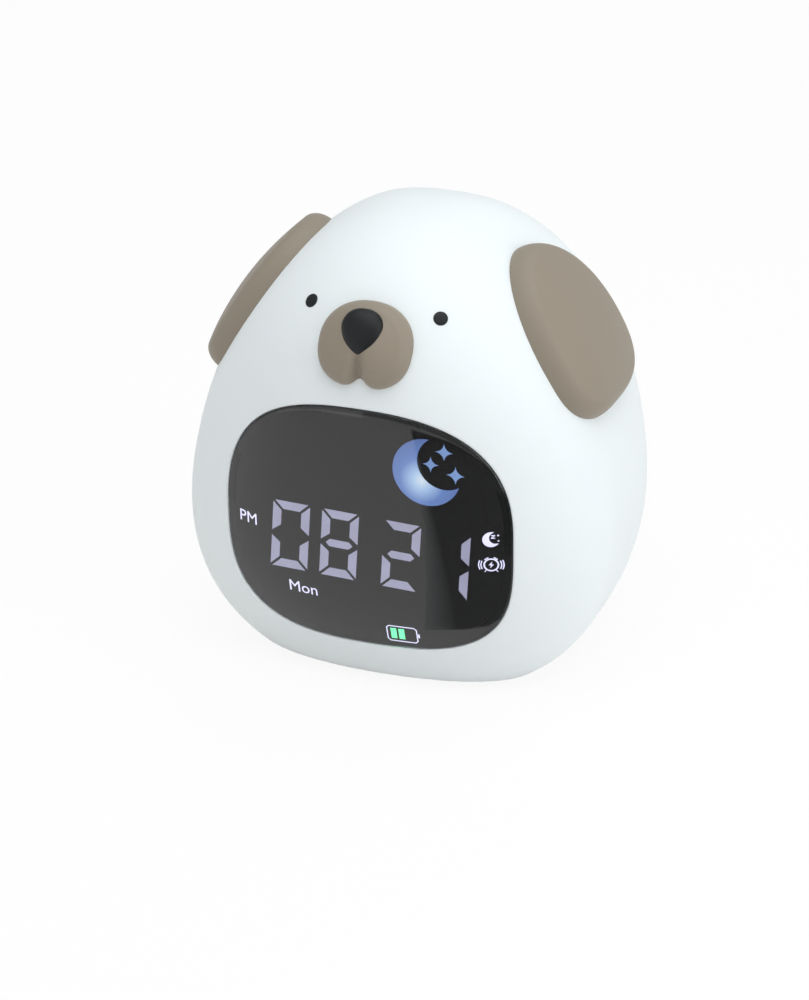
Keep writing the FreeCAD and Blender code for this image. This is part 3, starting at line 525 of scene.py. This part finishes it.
# Two cheeks that meet in a notch, with a soft crease running down from the nose. Notch and
# crease are bell curves across the middle.
def makeMuzzle():
    centre, outward, up = muzzlePlane()

    def radiusAt(angle):
        across, rise = np.cos(angle), np.sin(angle)
        height = np.where(rise > 0, muzzle["rise"], muzzle["drop"])
        power = np.where(rise > 0, muzzle["risePower"], muzzle["dropPower"])
        radius = ovalRadius(across, rise, muzzle["halfWidth"], height, power)
        notch = np.exp(-((radius * across / muzzle["notchWidth"]) ** 2)) * (rise < 0)
        return radius - muzzle["notch"] * notch

    def crease(flat, lift):
        drop = np.clip(((centre - flat) @ up + muzzle["creaseTop"]) / muzzle["creaseGrowth"], 0, 1)
        depth = muzzle["creaseDepth"] * np.exp(-((flat[:, 0] / muzzle["creaseWidth"]) ** 2)) * drop
        return np.maximum(lift - depth, min(lift, muzzle["creaseFloor"]))

    rings = padRings(centre, np.array([1.0, 0, 0]), up, outward, radiusAt, muzzle, crease, muzzle["columns"])
    piece = ringMesh("muzzlePad", rings)
    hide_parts("muzzle")
    return piece


nose = {
    "rise": 3.0, "halfWidth": 5.7, "halfHeight": 5.9, "power": 2.3, "foot": 3.4, "proud": 3.0,
    "narrowing": 0.2, "narrowFrom": 0.3, "narrowPower": 1.2, "rootDepth": 2.2, "rootShares": (0.0, 0.5, 0.9),
    "bellyTurn": -0.45, "bellyPower": 0.8, "rings": 24, "columns": 96,
}


# A rounded triangle, wide at the top, domed towards the front: an oval that narrows downwards,
# shrunk by a cosine as it rises by a sine.
def makeNose():
    centre, outward, up = muzzlePlane()
    angle = fullTurn(nose["columns"])
    foot = centre + up * nose["rise"] + outward * nose["foot"]

    def layer(shrink, lift):
        reach = ovalRadius(np.cos(angle), np.sin(angle), 1.0, 1.0, nose["power"])
        down = -reach * np.sin(angle)
        narrow = np.clip(down + nose["narrowFrom"], 0, 1 + nose["narrowFrom"]) ** nose["narrowPower"]
        x = nose["halfWidth"] * reach * np.cos(angle) * (1 - nose["narrowing"] * narrow)
        z = -nose["halfHeight"] * down
        return foot + np.outer(x * shrink, [1, 0, 0]) + np.outer(z * shrink, up) + outward * lift

    rings = [layer(share, -nose["rootDepth"]) for share in nose["rootShares"]]
    for turn in np.linspace(nose["bellyTurn"], math.pi / 2, nose["rings"]):
        rings.append(layer(math.cos(turn) ** nose["bellyPower"], nose["proud"] * math.sin(turn)))
    piece = ringMesh("noseButton", rings, sharpAngle=60)
    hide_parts("nose")
    return piece


eye = {"x": 17.4, "level": 102.7, "radius": 1.85, "dome": 0.35, "pegDepth": 1.5, "neck": 0.2, "columns": 48}


# A black stud: a straight peg in the skin with a domed head, a profile carried round its axis.
def makeEye(name, node, side):
    spot = np.array([side * eye["x"], float(frontY(eye["x"], eye["level"], 0)), eye["level"]])
    outward = bodyNormal(spot)
    across = np.cross(outward, [0, 0, 1.0])
    across /= np.linalg.norm(across)
    up = np.cross(across, outward)
    angle = fullTurn(eye["columns"])
    disc = np.outer(np.cos(angle), across) + np.outer(np.sin(angle), up)
    profile = [(0.0, -eye["pegDepth"]), (1.0, -eye["pegDepth"]), (1.0, -eye["neck"])]
    profile += [(math.cos(t), eye["dome"] * math.sin(t)) for t in np.linspace(0.0, math.pi / 2, 12)]
    rings = [spot + disc * (eye["radius"] * share) + outward * lift for share, lift in profile]
    piece = ringMesh(name, rings, sharpAngle=60)
    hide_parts(node)
    return piece


# The smoked window follows the body, a little below its surface; its edge is lightly rounded.
def makeLens():
    angle = fullTurn(lens["columns"])

    def ring(share, margin, inset):
        radius = lensRadius(angle, margin) * share
        x, z = radius * np.cos(angle), lens["level"] + radius * np.sin(angle)
        return np.stack([x, frontY(x, z, inset), z], axis=-1)

    edge, recess = lens["edge"], lens["recess"]
    rings = [ring(share, 0, recess + lens["wall"]) for share in np.linspace(0, 1, 24)]
    for turn in np.linspace(0, math.pi / 2, 6):
        rings.append(ring(1, -edge * (1 - math.cos(turn)), recess + edge * (1 - math.sin(turn))))
    rings += [ring(share, -edge, recess) for share in np.linspace(1, 0, 40)[1:]]
    piece = ringMesh("smokedLens", rings, sharpAngle=60)
    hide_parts("display_lens")
    return piece


# The row of digits on the display, seen from the front, in millimetres and degrees.
display = {
    "faceY": -31.5, "plateWall": 0.08, "proud": 0.12, "level": 39.6, "innerX": 8.4, "pitch": 13.3,
    "digitHeight": 18.7, "digitWidth": 10.0, "stroke": 2.3, "gap": 0.5, "middleGap": 0.7,
    "shoulder": 0.8, "tipInset": 0.6, "middleHalf": 0.45, "shift": 0.6, "slant": 2.0, "turn": -2.0,
    "shown": "0821", "glow": (0.50, 0.50, 0.68), "strength": 4.6,
}
# The bars lit in each digit: top, middle, bottom, then left upper, left lower, right upper, right lower.
litBars = {
    "0": (1, 0, 1, 1, 1, 1, 1), "8": (1, 1, 1, 1, 1, 1, 1),
    "2": (1, 1, 1, 0, 1, 1, 0), "1": (0, 0, 0, 0, 0, 1, 1),
}


# Leans the row a little and turns it about the middle of the display.
def slanted(points):
    lean, turn = math.tan(math.radians(display["slant"])), math.radians(display["turn"])
    rise = points[:, 1] - display["level"]
    across = points[:, 0] + rise * lean
    return np.column_stack([across * math.cos(turn) - rise * math.sin(turn) + display["shift"],
                            display["level"] + across * math.sin(turn) + rise * math.cos(turn)])


# Seven bars: the outer ones are long outside and mitred to the inside, the middle one is pointed.
def digitOutlines(x):
    wide, tall = display["digitWidth"] / 2, display["digitHeight"] / 2
    thick, gap, low = display["stroke"], display["gap"], display["middleGap"]
    top = np.array([(-wide + gap, tall), (wide - gap, tall), (wide - thick - gap, tall - thick),
                    (-wide + thick + gap, tall - thick)])
    upright = np.array([(-wide, tall - gap), (-wide + thick, tall - thick - gap),
                        (-wide + thick, low + display["shoulder"] * thick), (-wide, low)])
    tip, half = wide - display["tipInset"] * thick, display["middleHalf"] * thick
    middle = np.array([(-tip, 0), (-tip + half, half), (tip - half, half), (tip, 0), (tip - half, -half),
                       (-tip + half, -half)])
    bars = [top, middle, top * (1, -1), upright, upright * (1, -1), upright * (-1, 1), upright * (-1, -1)]
    return [slanted(bar + np.array([x, display["level"]])) for bar in bars]


# A round dot.
def discOutline(x, z, radius, count):
    turn = fullTurn(count)
    return np.column_stack([x + radius * np.cos(turn), z + radius * np.sin(turn)])


# A rectangle about its middle.
def boxOutline(x, z, halfWidth, halfHeight):
    corners = np.array([(-1, -1), (1, -1), (1, 1), (-1, 1)]) * np.array([halfWidth, halfHeight])
    return corners + np.array([x, z])


# The arc of a crescent's outer edge, then the arc of the bite back between the two tips.
def crescentOutline(sign, count):
    radius, biteRadius, biteShift = sign["radius"], sign["biteRadius"], sign["biteShift"]
    turn = math.radians(sign["biteAngle"])
    outerHalf = math.acos((biteShift ** 2 + radius ** 2 - biteRadius ** 2) / (2 * biteShift * radius))
    innerHalf = math.acos((biteShift ** 2 + biteRadius ** 2 - radius ** 2) / (2 * biteShift * biteRadius))
    outer = turn + np.linspace(outerHalf, 2 * math.pi - outerHalf, count)
    inner = turn + np.linspace(math.pi + innerHalf, math.pi - innerHalf, count)[1:-1]
    outerArc = np.column_stack([np.cos(outer), np.sin(outer)]) * radius
    innerArc = np.column_stack([np.cos(inner), np.sin(inner)]) * biteRadius
    innerArc += biteShift * np.array([math.cos(turn), math.sin(turn)])
    return np.vstack([outerArc, innerArc]) + np.array([sign["x"], sign["level"]])


# A star with four curved points: the oval's formula with a power below 1.
def starOutline(x, z, radius):
    turn = fullTurn(stars["columns"])
    reach = radius * ovalRadius(np.cos(turn), np.sin(turn), 1.0, 1.0, stars["power"])
    return np.column_stack([x + reach * np.cos(turn), z + reach * np.sin(turn)])


# A ring cut into short plates, so that its hole stays open.
def ringOutlines(x, z, outer, inner, start=0.0, end=2 * math.pi, count=24):
    turns = np.linspace(start, end, count + 1)
    pieces = []
    for a, b in zip(turns[:-1], turns[1:]):
        corners = [(inner, a), (outer, a), (outer, b), (inner, b)]
        pieces.append(np.array([(x + r * math.cos(t), z + r * math.sin(t)) for r, t in corners]))
    return pieces


# Puts an outline on the flat black face, proud of it towards the front.
def onFace(proud):
    def put(outline):
        y = np.full(len(outline), display["faceY"] - proud)
        return np.column_stack([outline[:, 0], y, outline[:, 1]])
    return put


# Puts an outline on a surface that follows the back of the lens.
def onLensBack(depth):
    def put(outline):
        y = frontY(outline[:, 0], outline[:, 1], legend["inset"]) + depth
        return np.column_stack([outline[:, 0], y, outline[:, 1]])
    return put


def facePlates(name, outlines, proud):
    return plateMesh(name, outlines, onFace(proud), onFace(proud - display["plateWall"]))


def lensPlates(name, outlines):
    return plateMesh(name, outlines, onLensBack(0.0), onLensBack(legend["wall"]))


film = {"halfWidth": 28.6, "halfHeight": 10.4, "corner": 2.0, "proud": 0.06, "columns": 72}


# The dark film over the digits hides the bars that aren't lit: a rectangle with round corners.
def filmOutline():
    turn = fullTurn(film["columns"])
    reach = roundedRadius(turn, film["halfWidth"], film["halfHeight"], film["corner"])
    return np.column_stack([reach * np.cos(turn), display["level"] + reach * np.sin(turn)])


print("scene: skin, ears and face")
siliconeWhite = siliconeFinish("whiteSilicone", (0.84, 0.875, 0.885), 0.12, 0.004)
siliconeTaupe = siliconeFinish("taupeSilicone", (0.29, 0.243, 0.19), 0.05, 0.002)
blackGloss = glossBlackFinish("blackGloss", (0.010, 0.011, 0.012), 0.48)

skin = makeCover()
skin.data.materials.append(siliconeWhite)
taupePieces = [makeEar("earPadLeft", "ear_left", -1), makeEar("earPadRight", "ear_right", 1), makeMuzzle()]
for piece in taupePieces:
    piece.data.materials.append(siliconeTaupe)
blackPieces = [makeNose(), makeEye("eyeStudLeft", "eye_left", -1), makeEye("eyeStudRight", "eye_right", 1)]
for piece in blackPieces:
    piece.data.materials.append(blackGloss)

print("scene: lens and digits")
lensPiece = makeLens()
lensPiece.data.materials.append(lensFinish("smokedAcrylic", lens["tint"]))

outerX = display["innerX"] + display["pitch"]
lit = []
for digit, x in zip(display["shown"], (-outerX, -display["innerX"], display["innerX"], outerX)):
    lit += [outline for isLit, outline in zip(litBars[digit], digitOutlines(x)) if isLit]
litDigits = facePlates("litBars", lit, display["proud"])
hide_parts("digit_segments")
litDigits.data.materials.append(glowFinish("digitGlow", display["glow"], display["strength"]))
windowFilm = facePlates("windowFilm", [slanted(filmOutline())], film["proud"])
windowFilm.data.materials.append(plasticFinish("darkFilm", (0.006, 0.006, 0.0065), 0.5, gloss=0.08))

print("scene: moon and stars")
moon = {
    "x": 16.2, "level": 63.7, "radius": 9.1, "biteRadius": 7.2, "biteShift": 5.6, "biteAngle": 33.4,
    "hotX": 15.0, "hotLevel": 61.4, "hotReach": 12.0, "strength": 5.6, "glow": [
        (0.0, (0.80, 0.93, 1.0, 1)), (0.2, (0.46, 0.66, 0.93, 1)),
        (0.5, (0.16, 0.27, 0.60, 1)), (1.0, (0.11, 0.18, 0.42, 1))],
}
# Each star's place from the moon's middle, and its radius.
stars = {
    "spots": [(4.7, 6.2, 2.3), (1.1, 2.4, 2.1), (7.7, 0.3, 2.4)], "power": 0.62, "columns": 64,
    "glow": (0.25, 0.40, 0.75), "strength": 5.2,
}


# Blue light that turns nearly white beside the lamp behind it.
def moonFinish(name):
    finish = Finish(name)
    hotSpot = (moon["hotX"] * mm, display["faceY"] * mm, moon["hotLevel"] * mm)
    spot = finish.node("ShaderNodeVectorMath", {"operation": "SUBTRACT"}, {0: finish.place, 1: hotSpot})
    away = finish.node("ShaderNodeVectorMath", {"operation": "LENGTH"}, {0: spot}, output=1)
    share = away * (1 / (moon["hotReach"] * mm))
    glow = finish.node("ShaderNodeValToRGB", {"stops": moon["glow"]}, {0: share})
    return finish.set({
        "Base Color": (0.02, 0.02, 0.03, 1), "Roughness": 0.6,
        "Emission Color": glow, "Emission Strength": moon["strength"]})


moonPiece = facePlates("moonWindow", [crescentOutline(moon, 60)], display["proud"])
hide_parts("moon_window")
moonPiece.data.materials.append(moonFinish("moonGlow"))
starPlates = [starOutline(moon["x"] + x, moon["level"] + z, radius) for x, z, radius in stars["spots"]]
starPiece = facePlates("starWindows", starPlates, display["proud"])
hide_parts("star_windows")
starPiece.data.materials.append(glowFinish("starGlow", stars["glow"], stars["strength"]))

print("scene: letters and signs")
# Each word's place is the middle of its width and of its capital.
legend = {
    "inset": 2.1, "wall": 0.12, "glow": (0.36, 0.36, 0.48), "strength": 6.5,
    "words": {"legendPm": ("PM", -32.3, 43.9, 3.1), "legendDay": ("Mon", -17.1, 27.0, 3.2)},
}
# Dots and letter are placed from the small moon's middle.
sleep = {
    "x": 33.3, "level": 47.8, "radius": 2.05, "biteRadius": 1.6, "biteShift": 1.15, "biteAngle": 20,
    "dots": [(1.6, 1.1, 0.22), (1.7, -0.4, 0.2), (1.2, -1.3, 0.18)],
    "letter": [(-0.75, 0.75), (0.75, 0.75), (0.75, 0.4), (-0.2, -0.42), (0.75, -0.42), (0.75, -0.75),
               (-0.75, -0.75), (-0.75, -0.4), (0.2, 0.42), (-0.75, 0.42)],
    "letterSize": 0.62, "letterPlace": (0.45, 0.75),
}
# Outer and inner radius of the dial, and with half an angle, of the waves beside it.
alarm = {
    "x": 33.25, "level": 40.7, "dial": (1.85, 1.5), "waves": [(2.55, 2.3, 0.5), (3.1, 2.85, 0.45)],
    "bell": [(0.55, 1.95), (1.45, 1.35), (1.6, 1.6), (0.7, 2.2)],
    "bolt": [(0.25, 0.95), (-0.6, -0.1), (-0.05, -0.1), (-0.25, -0.95), (0.6, 0.12), (0.05, 0.12)],
    "foot": [(1.05, -1.45), (1.27, -1.45), (1.67, -2.0), (1.45, -2.0)],
}
battery = {
    "x": 9.1, "level": 17.2, "halfWidth": 4.1, "halfHeight": 2.55, "line": 0.28, "cut": 0.7, "innerCut": 0.49,
    "tipX": 4.45, "tipHalfWidth": 0.2, "tipHalfHeight": 0.6,
    "barX": (-2.2, -0.1), "barRise": 0.05, "barHalfWidth": 0.75, "barHalfHeight": 1.65,
    "glow": (0.10, 0.62, 0.26), "strength": 6.0,
}


# Letters as flat meshes laid on the back of the lens, scaled to the height of a capital.
def legendText(name, words, x, z, height):
    curve = bpy.data.curves.new(name, "FONT")
    curve.body = words
    curve.size = 1.0
    curve.resolution_u = 3
    writer = addObject(name, curve)
    bpy.context.view_layer.update()
    mesh = bpy.data.meshes.new_from_object(writer)
    bpy.data.objects.remove(writer)
    points = np.zeros(len(mesh.vertices) * 3)
    mesh.vertices.foreach_get("co", points)
    flat = points.reshape(-1, 3)[:, :2]
    low, high = flat.min(axis=0), flat.max(axis=0)
    capital = high[1] - max(low[1], 0)
    flat = (flat - np.array([(low[0] + high[0]) / 2, capital / 2])) * (height / capital)
    placed = onLensBack(0.0)(flat + np.array([x, z]))
    mesh.vertices.foreach_set("co", (placed * mm).ravel())
    return addObject(name, mesh)


# A small moon with three dots and a letter Z.
def sleepOutlines():
    x, z = sleep["x"], sleep["level"]
    outlines = [crescentOutline(sleep, 24)]
    outlines += [discOutline(x + right, z + up, radius, 10) for right, up, radius in sleep["dots"]]
    place = np.array([x, z]) + np.array(sleep["letterPlace"])
    return outlines + [np.array(sleep["letter"]) * sleep["letterSize"] + place]


# A dial with a bolt, two bells, two feet and waves to each side.
def alarmOutlines():
    x, z = alarm["x"], alarm["level"]
    outlines = ringOutlines(x, z, *alarm["dial"])
    for middle in (0, math.pi):
        for outer, inner, half in alarm["waves"]:
            outlines += ringOutlines(x, z, outer, inner, middle - half, middle + half, 8)
    shapes = [np.array(alarm["bell"]) * (side, 1) for side in (-1, 1)]
    shapes += [np.array(alarm["bolt"])]
    shapes += [np.array(alarm["foot"]) * (side, 1) for side in (-1, 1)]
    return outlines + [shape + np.array([x, z]) for shape in shapes]


# The battery's frame is eight bars round a box with cut corners, and its tip a small box.
def batteryOutlines():
    def loop(w, h, cut):
        return [(-w + cut, h), (w - cut, h), (w, h - cut), (w, -h + cut),
                (w - cut, -h), (-w + cut, -h), (-w, -h + cut), (-w, h - cut)]

    w, h, line = battery["halfWidth"], battery["halfHeight"], battery["line"]
    x, z = battery["x"], battery["level"]
    big, small = loop(w, h, battery["cut"]), loop(w - line, h - line, battery["innerCut"])
    outlines = []
    for k in range(8):
        j = (k + 1) % 8
        outlines.append(np.array([big[k], big[j], small[j], small[k]]) + np.array([x, z]))
    return outlines + [boxOutline(x + battery["tipX"], z, battery["tipHalfWidth"], battery["tipHalfHeight"])]


legendPieces = [legendText(name, *word) for name, word in legend["words"].items()]
legendPieces.append(lensPlates("sleepSign", sleepOutlines()))
legendPieces.append(lensPlates("alarmSign", alarmOutlines()))
legendPieces.append(lensPlates("batterySign", batteryOutlines()))
legendGlow = glowFinish("legendGlow", legend["glow"], legend["strength"])
for piece in legendPieces:
    piece.data.materials.append(legendGlow)
batteryBars = lensPlates("batteryBars", [
    boxOutline(battery["x"] + x, battery["level"] + battery["barRise"],
               battery["barHalfWidth"], battery["barHalfHeight"]) for x in battery["barX"]])
batteryBars.data.materials.append(glowFinish("greenGlow", battery["glow"], battery["strength"]))

print("scene: finishes of the carried-over parts")
partFinishes = {
    "lens_gasket": plasticFinish("blackFoam", (0.012, 0.012, 0.012), 0.9, 0.0002),
    "front_shell": plasticFinish("milkyPlastic", (0.78, 0.78, 0.76), 0.45),
    "display_face": plasticFinish("blackFace", (0.006, 0.006, 0.0065), 0.55, gloss=0.08),
    "board_chips": plasticFinish("chipBlack", (0.02, 0.02, 0.022), 0.4),
    "base_plate": plasticFinish("whitePlastic", (0.80, 0.81, 0.81), 0.42),
    "foot_pads": plasticFinish("footRubber", (0.42, 0.42, 0.41), 0.75, 0.0001),
    "base_screws": metalFinish("screwSteel", (0.55, 0.55, 0.56), 0.35),
    "speaker_cone": plasticFinish("paperCone", (0.03, 0.03, 0.032), 0.85, 0.0001),
    "speaker_magnet": metalFinish("magnetSteel", (0.42, 0.42, 0.43), 0.45),
    "night_light_board": boardFinish("greenBoard", (0.02, 0.16, 0.06)),
    "night_light_leds": glowFinish("warmLamp", (1.0, 0.82, 0.55), 0.6),
    "battery_cell": plasticFinish("batteryWrap", (0.36, 0.40, 0.46), 0.3),
    "usb_c_socket": metalFinish("portSteel", (0.72, 0.72, 0.74), 0.22),
    "button_mode": plasticFinish("buttonPlastic", (0.66, 0.67, 0.67), 0.5),
}
sameFinish = {
    "front_shell": ["rear_shell", "inner_frame"],
    "display_face": ["display_light_box"],
    "board_chips": ["tactile_switches", "speaker_basket"],
    "base_plate": ["control_panel"],
    "night_light_board": ["main_board", "display_board", "control_board"],
    "night_light_leds": ["display_leds"],
    "lens_gasket": ["battery_pad"],
    "button_mode": ["button_minus", "button_light", "button_plus", "button_alarm"],
}
for node, material in partFinishes.items():
    for name in [node] + sameFinish.get(node, []):
        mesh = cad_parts[name].data
        mesh.materials.clear()
        mesh.materials.append(material)

print("scene: what rides on what")
rooted = [skin, lensPiece, litDigits, windowFilm, moonPiece, starPiece, batteryBars]
for piece in rooted + taupePieces + blackPieces + legendPieces:
    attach(piece, "clock")

print("scene: camera, floor and lights")
# Angles in degrees, lengths in millimetres, and shifts and focal length in pixels of the frame.
view = {
    "azimuth": 21.444, "elevation": 24.66, "roll": 0.829, "distance": 1236.4, "focalPixels": 4787.2,
    "target": (0.0, -3.0, 59.5), "frameHeight": 1000, "shiftX": 3.5, "shiftY": 66.8,
}


# The camera looks back along azimuth and elevation at the target, and the frame is shifted on it.
def setCamera():
    azimuth, elevation = math.radians(view["azimuth"]), math.radians(view["elevation"])
    back = Vector((math.sin(azimuth) * math.cos(elevation), -math.cos(azimuth) * math.cos(elevation),
                   math.sin(elevation)))
    camera = addObject("camera", bpy.data.cameras.new("camera"))
    lensData = camera.data
    lensData.sensor_fit = "VERTICAL"
    lensData.sensor_height = 36.0
    lensData.lens = view["focalPixels"] / view["frameHeight"] * lensData.sensor_height
    lensData.shift_x = -view["shiftX"] / view["frameHeight"]
    lensData.shift_y = -view["shiftY"] / view["frameHeight"]
    lensData.clip_start, lensData.clip_end = 0.05, 20
    turn = back.to_track_quat("Z", "Y").to_matrix().to_4x4()
    roll = Matrix.Rotation(math.radians(-view["roll"]), 4, "Z")
    place = (Vector(view["target"]) + back * view["distance"]) * mm
    camera.matrix_world = Matrix.Translation(place) @ turn @ roll
    bpy.context.scene.camera = camera


# The room looks white to the camera and is a plain grey light to everything else. The card lies
# on the floor in front, where only gloss sees it: it fades from pale to grey along x and gives
# the lens its darker half.
stage = {
    "floorSize": 3.0, "floorColour": (0.90, 0.885, 0.87, 1), "whiteShare": 0.9,
    "room": (0.42, 0.43, 0.44, 1), "card": [(12, -1500), (1200, -1500), (1200, -46), (12, -46)],
    "cardLevel": 0.4, "fadeFrom": 11, "fadeTo": 24, "cardPale": (0.9, 0.9, 0.9, 1),
    "cardGrey": (0.2, 0.2, 0.2, 1),
}


# White to the camera and to gloss, a plain matt colour to everything else.
def floorFinish(name):
    finish = Finish(name)
    cameraRay = finish.node("ShaderNodeLightPath", output="Is Camera Ray")
    glossRay = finish.node("ShaderNodeLightPath", output="Is Glossy Ray")
    seen = cameraRay.combine("MAXIMUM", cameraRay, glossRay)
    cloth = finish.node("ShaderNodeBsdfDiffuse", None, {"Color": stage["floorColour"]})
    white = finish.node("ShaderNodeEmission", None, {"Strength": 1.0})
    mix = finish.node("ShaderNodeMixShader", None, {0: seen * stage["whiteShare"], 1: cloth, 2: white})
    finish.feed(finish.tree.nodes["Material Output"].inputs["Surface"], mix)
    return finish.material


def cardFinish(name):
    finish = Finish(name)
    along = finish.node("ShaderNodeSeparateXYZ", None, {0: finish.place})
    fade = finish.node("ShaderNodeMapRange", None, {
        "Value": along, 1: stage["fadeFrom"] * mm, 2: stage["fadeTo"] * mm, 3: 0.0, 4: 1.0})
    return finish.set({
        "Base Color": finish.mixColour(fade, stage["cardPale"], stage["cardGrey"]),
        "Roughness": 1.0, "Specular IOR Level": 0.0})


# One flat rectangle that belongs to the stage and not to the clock.
def stageSheet(name, corners, material):
    mesh = bpy.data.meshes.new(name)
    mesh.from_pydata(corners, [], [(0, 1, 2, 3)])
    mesh.materials.append(material)
    sheet = addObject(name, mesh)
    return sheet


def setStage():
    size = stage["floorSize"]
    corners = [(-size, -size, 0), (size, -size, 0), (size, size, 0), (-size, size, 0)]
    stageSheet("floor", corners, floorFinish("paleFloor"))
    corners = [(x * mm, y * mm, stage["cardLevel"] * mm) for x, y in stage["card"]]
    card = stageSheet("darkCard", corners, cardFinish("cardGrey"))
    card.visible_camera = card.visible_diffuse = card.visible_shadow = card.visible_transmission = False
    world = bpy.data.worlds.new("paleRoom")
    bpy.context.scene.world = world
    world.use_nodes = True
    tree = world.node_tree
    path = tree.nodes.new("ShaderNodeLightPath")
    ground = tree.nodes["Background"]
    ground.inputs["Strength"].default_value = 1.0
    mix = tree.nodes.new("ShaderNodeMix")
    mix.data_type = "RGBA"
    mix.inputs[6].default_value = stage["room"]
    mix.inputs[7].default_value = (1, 1, 1, 1)
    tree.links.new(path.outputs["Is Camera Ray"], mix.inputs[0])
    tree.links.new(mix.outputs[2], ground.inputs["Color"])


# Soft lamps that face the clock, in metres and watts.
lamps = {
    "topSoftbox": {
        "place": (0.1, -0.1, 1.1), "size": (1.2, 1.2), "power": 8.5, "colour": (0.95, 0.995, 1.0)},
    "rightSoftbox": {
        "place": (1.0, -0.2, 0.4), "size": (0.7, 0.9), "power": 4.0, "colour": (0.95, 0.99, 1.0)},
    "leftSoftbox": {
        "place": (-0.75, -0.95, 0.25), "size": (0.9, 1.1), "power": 1.6, "colour": (1.0, 0.99, 0.97)},
}
lampTarget = (0, 0, 0.06)


def areaLight(name, lamp):
    data = bpy.data.lights.new(name, "AREA")
    data.shape = "RECTANGLE"
    data.size, data.size_y = lamp["size"]
    data.energy = lamp["power"]
    data.color = lamp["colour"]
    place = Vector(lamp["place"])
    turn = (place - Vector(lampTarget)).to_track_quat("Z", "Y").to_matrix().to_4x4()
    addObject(name, data).matrix_world = Matrix.Translation(place) @ turn


setCamera()
setStage()
for name, lamp in lamps.items():
    areaLight(name, lamp)

scene = bpy.context.scene
scene.view_settings.view_transform = "Standard"

print("scene: done")
